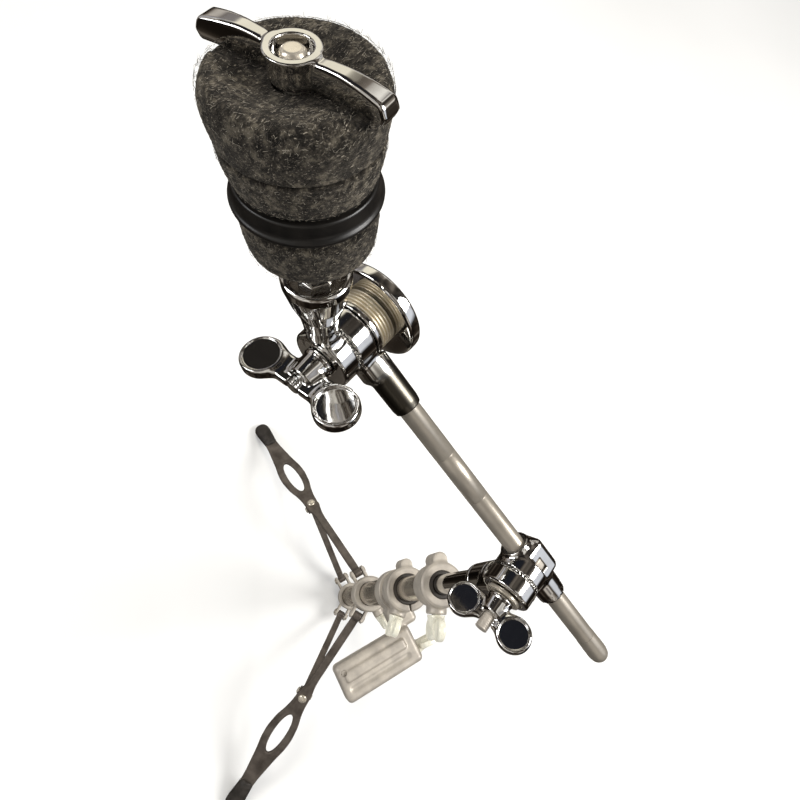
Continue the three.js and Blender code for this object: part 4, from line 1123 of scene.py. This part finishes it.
def fibres(name, profile, density, seed, length, width=0.085):
    """Loose wool fibres: thin bent three-sided strips lying on a felt's side and top."""
    rng = random.Random(seed)
    verts, faces = [], []
    spans = [(Vector(profile[i]), Vector(profile[i + 1])) for i in range(len(profile) - 1)]
    weights = [(b - a).length * (a.x + b.x) for a, b in spans]
    heights = [y for _, y in profile]
    limits = (max(x for x, _ in profile) - 0.1, min(heights), max(heights))
    for _ in range(density):
        a, b = rng.choices(spans, weights)[0]
        at = a.lerp(b, rng.random())
        out = Vector(((b - a).y, -(b - a).x)).normalized()
        angle = rng.uniform(0, 2 * math.pi)
        radial_dir = Vector((math.cos(angle), math.sin(angle), 0))
        normal = (radial_dir * out.x + Vector((0, 0, out.y))).normalized()
        side = Vector((-math.sin(angle), math.cos(angle), 0))
        rise = normal.cross(side)
        lay = rng.gauss(0.7, 0.75)
        way = side * math.cos(lay) + rise * math.sin(lay)
        point = radial_dir * at.x + Vector((0, 0, at.y)) - normal * 0.08
        total = rng.uniform(*length)
        lies_flat = rng.random() < 0.985
        lift = rng.uniform(0.0, 0.06) if lies_flat else rng.uniform(0.1, 0.5)
        curl = rng.uniform(-0.3, 0.3)
        base = len(verts)
        steps = 4
        for k in range(steps + 1):
            t = k / steps
            flat = point + way * total * t + way.cross(normal) * curl * total * t * t
            here = wrapped(flat, at, out, *limits) + normal * (lift * math.sin(t * 2.4) + 0.1)
            thin = width * (1 - 0.75 * t) / 2
            across = way.cross(normal)
            verts += [(here + across * thin) * MM, (here - across * thin) * MM,
                      (here + normal * thin * 1.6) * MM]
        for k in range(steps):
            ring = base + 3 * k
            for j in range(3):
                j1 = (j + 1) % 3
                faces.append((ring + j, ring + j1, ring + 3 + j1, ring + 3 + j))
    return mesh_object(name, verts, faces)


def felts():
    for node, lower, upper, z0, z1, crown, edges, seed in (
            ("lower_felt", 17.9, 18.7, 60.2, 76.4, 0, (1.8, 1.8), 11),
            ("upper_felt_1", 18.3, 20.0, 84.1, 95.8, 0, (1.2, 0.5), 12),
            ("upper_felt_2", 20.0, 21.1, 96.0, 107.3, 2.5, (0.5, 2.2), 13)):
        piece = felt_piece(f"{node}_pressed", lower, upper, z0, z1, crown, edges, seed)
        put(piece, node, ON_ROD, "felt")
        side = [(lower - 0.5, z0 + 0.5), (lower, z0 + 1.6), (upper + 0.1, z1 - 1.8),
                (upper - 0.5, z1 - 0.4)]
        if crown:
            side = side[:2] + [(upper, z1 - 1.2), (upper - 0.6, z1 + 1.2), (upper - 2.6, z1 + 2.4),
                               (14.8, z1 + 2.1), (9.6, z1 + 0.3)]
        dark = fibres(f"{node}_wool_dark", side, 1500 if crown else 1000, seed + 20, (0.8, 2.6))
        pale = fibres(f"{node}_wool_pale", side, 1100 if crown else 700, seed + 40, (0.3, 1.3), 0.11)
        put(dark, node, ON_ROD, "felt", MATERIAL["wool_dark"])
        put(pale, node, ON_ROD, "felt", MATERIAL["wool_pale"])


def rod_parts():
    carved("cymbal_rod", "threaded", threaded_rod, (-3.6, -3.6, 21), (3.6, 3.6, 115), 0.3, ON_ROD,
           "rivet_steel")
    lathed("seat_washer", "turned", ring_profile(3.3, 12, 57.4, 59.7), 0.5, ON_ROD, "chrome")
    carved("seat_nut", "milled", seat_nut_shape, (-7.2, -7.2, 45.3), (7.2, 7.2, 58.1), 0.35, ON_ROD,
           "chrome")
    sleeve = [(3.3, 77, 0.2), (18.6, 77, 0.6), (20.0, 78.0, 0.5), (20.0, 78.9, 0.4), (19.3, 79.5, 0.4),
              (19.0, 80.2, 0.5), (18.6, 83.3, 0.4), (18.2, 83.7, 0.2), (4.8, 83.7, 0.3),
              (4.8, 105.4, 0.3), (3.3, 105.4, 0.3)]
    lathed("seat_sleeve", "moulded", sleeve, 0.3, ON_ROD, "black_plastic", sides=144)
    carved("cymbal_wing_nut", "cast", top_wing_nut, (-26, -7.5, -1), (26, 7.5, 8), 0.32,
           ON_ROD @ move(0, 0, 107.7) @ turn(TOP_NUT_TURN, "Z"), "chrome")


# ------------------------------------------------------------------ camera, floor and light


# The photograph's viewpoint: place in metres, then the way it looks and its roll in degrees.
VIEW_FROM = (0.051991, 0.037784, 0.857145)
VIEW_HEADING, VIEW_PITCH, VIEW_ROLL = -80.324, -66.601, 32.624


def camera():
    cam = bpy.data.cameras.new("camera")
    cam.sensor_width = 36
    cam.lens = 25.53435
    cam.clip_start = 0.01
    obj = bpy.data.objects.new("camera", cam)
    bpy.context.scene.collection.objects.link(obj)
    obj.matrix_world = (Matrix.Translation(VIEW_FROM) @ turn(VIEW_HEADING - 90, "Z")
                        @ turn(90 + VIEW_PITCH, "X") @ turn(VIEW_ROLL, "Z"))
    bpy.context.scene.camera = obj
    bpy.context.scene.view_settings.view_transform = "Standard"


def area_light(name, at, to, size, power, colour=(1, 1, 1)):
    data = bpy.data.lights.new(name, "AREA")
    data.shape = "RECTANGLE"
    data.size, data.size_y = size
    data.energy = power
    data.color = colour
    obj = bpy.data.objects.new(name, data)
    bpy.context.scene.collection.objects.link(obj)
    aim = Vector(to) - Vector(at)
    obj.matrix_world = Matrix.Translation(at) @ aim.to_track_quat("-Z", "Y").to_matrix().to_4x4()
    return obj


def floor():
    mat, tree, shader = new_material("floor", Roughness=0.8, Specular_IOR_Level=0.2)
    tone = ramp(tree, noise(tree, stretched(tree), 2),
                [(0.3, (0.83, 0.83, 0.825)), (0.7, (0.87, 0.87, 0.865))])
    tree.links.new(tone, shader.inputs["Base Color"])
    half = 30.0
    corners = [(-half, -half, 0), (half, -half, 0), (half, half, 0), (-half, half, 0)]
    sheet = mesh_object("floor", corners, [(0, 1, 2, 3)], False)
    sheet.location.z = -0.0004
    sheet.data.materials.append(mat)
    sheet.visible_glossy = False


# Soft round cards in the reflected room: direction, inner and outer reach, colour.
CARDS = (((0.77, -0.28, 0.58), 0.16, 0.26, (0.02, 0.018, 0.016)),
         ((0.57, -0.21, 0.80), 0.20, 0.32, (0.014, 0.015, 0.02)),
         ((0.72, -0.56, 0.41), 0.16, 0.24, (1.05, 0.99, 0.82)),
         ((-0.89, -0.32, 0.34), 0.25, 0.4, (0.8, 0.83, 0.9)))


def card(tree, way, behind, towards, inner, outer, colour):
    away = tree.nodes.new("ShaderNodeVectorMath")
    away.operation = "DISTANCE"
    tree.links.new(way, away.inputs[0])
    away.inputs[1].default_value = towards
    return mixed(tree, ranged(tree, away.outputs["Value"], 1, 0, inner, outer), behind, colour)


def reflected_room(tree):
    """A dark room with pale patches, lighter higher up, and the cards in it."""
    way = tree.nodes.new("ShaderNodeTexCoord").outputs["Generated"]
    split = tree.nodes.new("ShaderNodeSeparateXYZ")
    tree.links.new(way, split.inputs["Vector"])
    room = ramp(tree, noise(tree, way, 1.7, 2, 0.5, 0.4), [
        (0.36, (0.012, 0.010, 0.009)), (0.47, (0.07, 0.06, 0.05)), (0.54, (0.22, 0.19, 0.16)),
        (0.60, (1.0, 0.97, 0.9)), (0.66, (0.25, 0.23, 0.22)), (0.75, (0.8, 0.83, 0.9))])
    lit = ramp(tree, ranged(tree, split.outputs["Z"], 0, 1, -1), [
        (0.0, (0.10, 0.09, 0.08)), (0.42, (0.22, 0.19, 0.17)), (0.55, (0.75, 0.72, 0.70)),
        (0.80, (1, 1, 1))])
    both = add_node(tree, "ShaderNodeMixRGB", Fac=1)
    both.blend_type = "MULTIPLY"
    tree.links.new(room, both.inputs["Color1"])
    tree.links.new(lit, both.inputs["Color2"])
    seen = both.outputs["Color"]
    for each in CARDS:
        seen = card(tree, way, seen, *each)
    return seen


def surroundings():
    """The world: soft white light on everything, and the reflected room for glossy rays."""
    world = bpy.data.worlds.new("studio")
    bpy.context.scene.world = world
    world.use_nodes = True
    tree = world.node_tree
    plain = set_inputs(tree.nodes["Background"], {"Color": (1.0, 0.99, 0.975, 1), "Strength": 0.66})
    mirror = add_node(tree, "ShaderNodeBackground", Strength=1.0)
    tree.links.new(reflected_room(tree), mirror.inputs["Color"])
    path = tree.nodes.new("ShaderNodeLightPath")
    mix = tree.nodes.new("ShaderNodeMixShader")
    tree.links.new(path.outputs["Is Glossy Ray"], mix.inputs["Fac"])
    tree.links.new(plain.outputs["Background"], mix.inputs[1])
    tree.links.new(mirror.outputs["Background"], mix.inputs[2])
    tree.links.new(mix.outputs["Shader"], tree.nodes["World Output"].inputs["Surface"])


def light():
    area_light("key", (-1.2, -0.9, 1.9), (0, 0, 0.35), (0.8, 0.8), 34, (1, 0.99, 0.97))
    area_light("fill", (1.3, 0.9, 1.5), (0, 0, 0.35), (0.5, 0.9), 9, (0.97, 0.98, 1))
    lamp = area_light("lamp", (0.95, -0.85, 2.3), (0.05, -0.02, 0.6), (0.55, 0.55), 16, (1, 0.95, 0.84))
    lamp.visible_glossy = False


# ------------------------------------------------------------------ everything

tubes()
tripod()
clamps()
accessory()
boom()
cymbal_tilter()
felts()
rod_parts()
camera()
floor()
surroundings()
light()
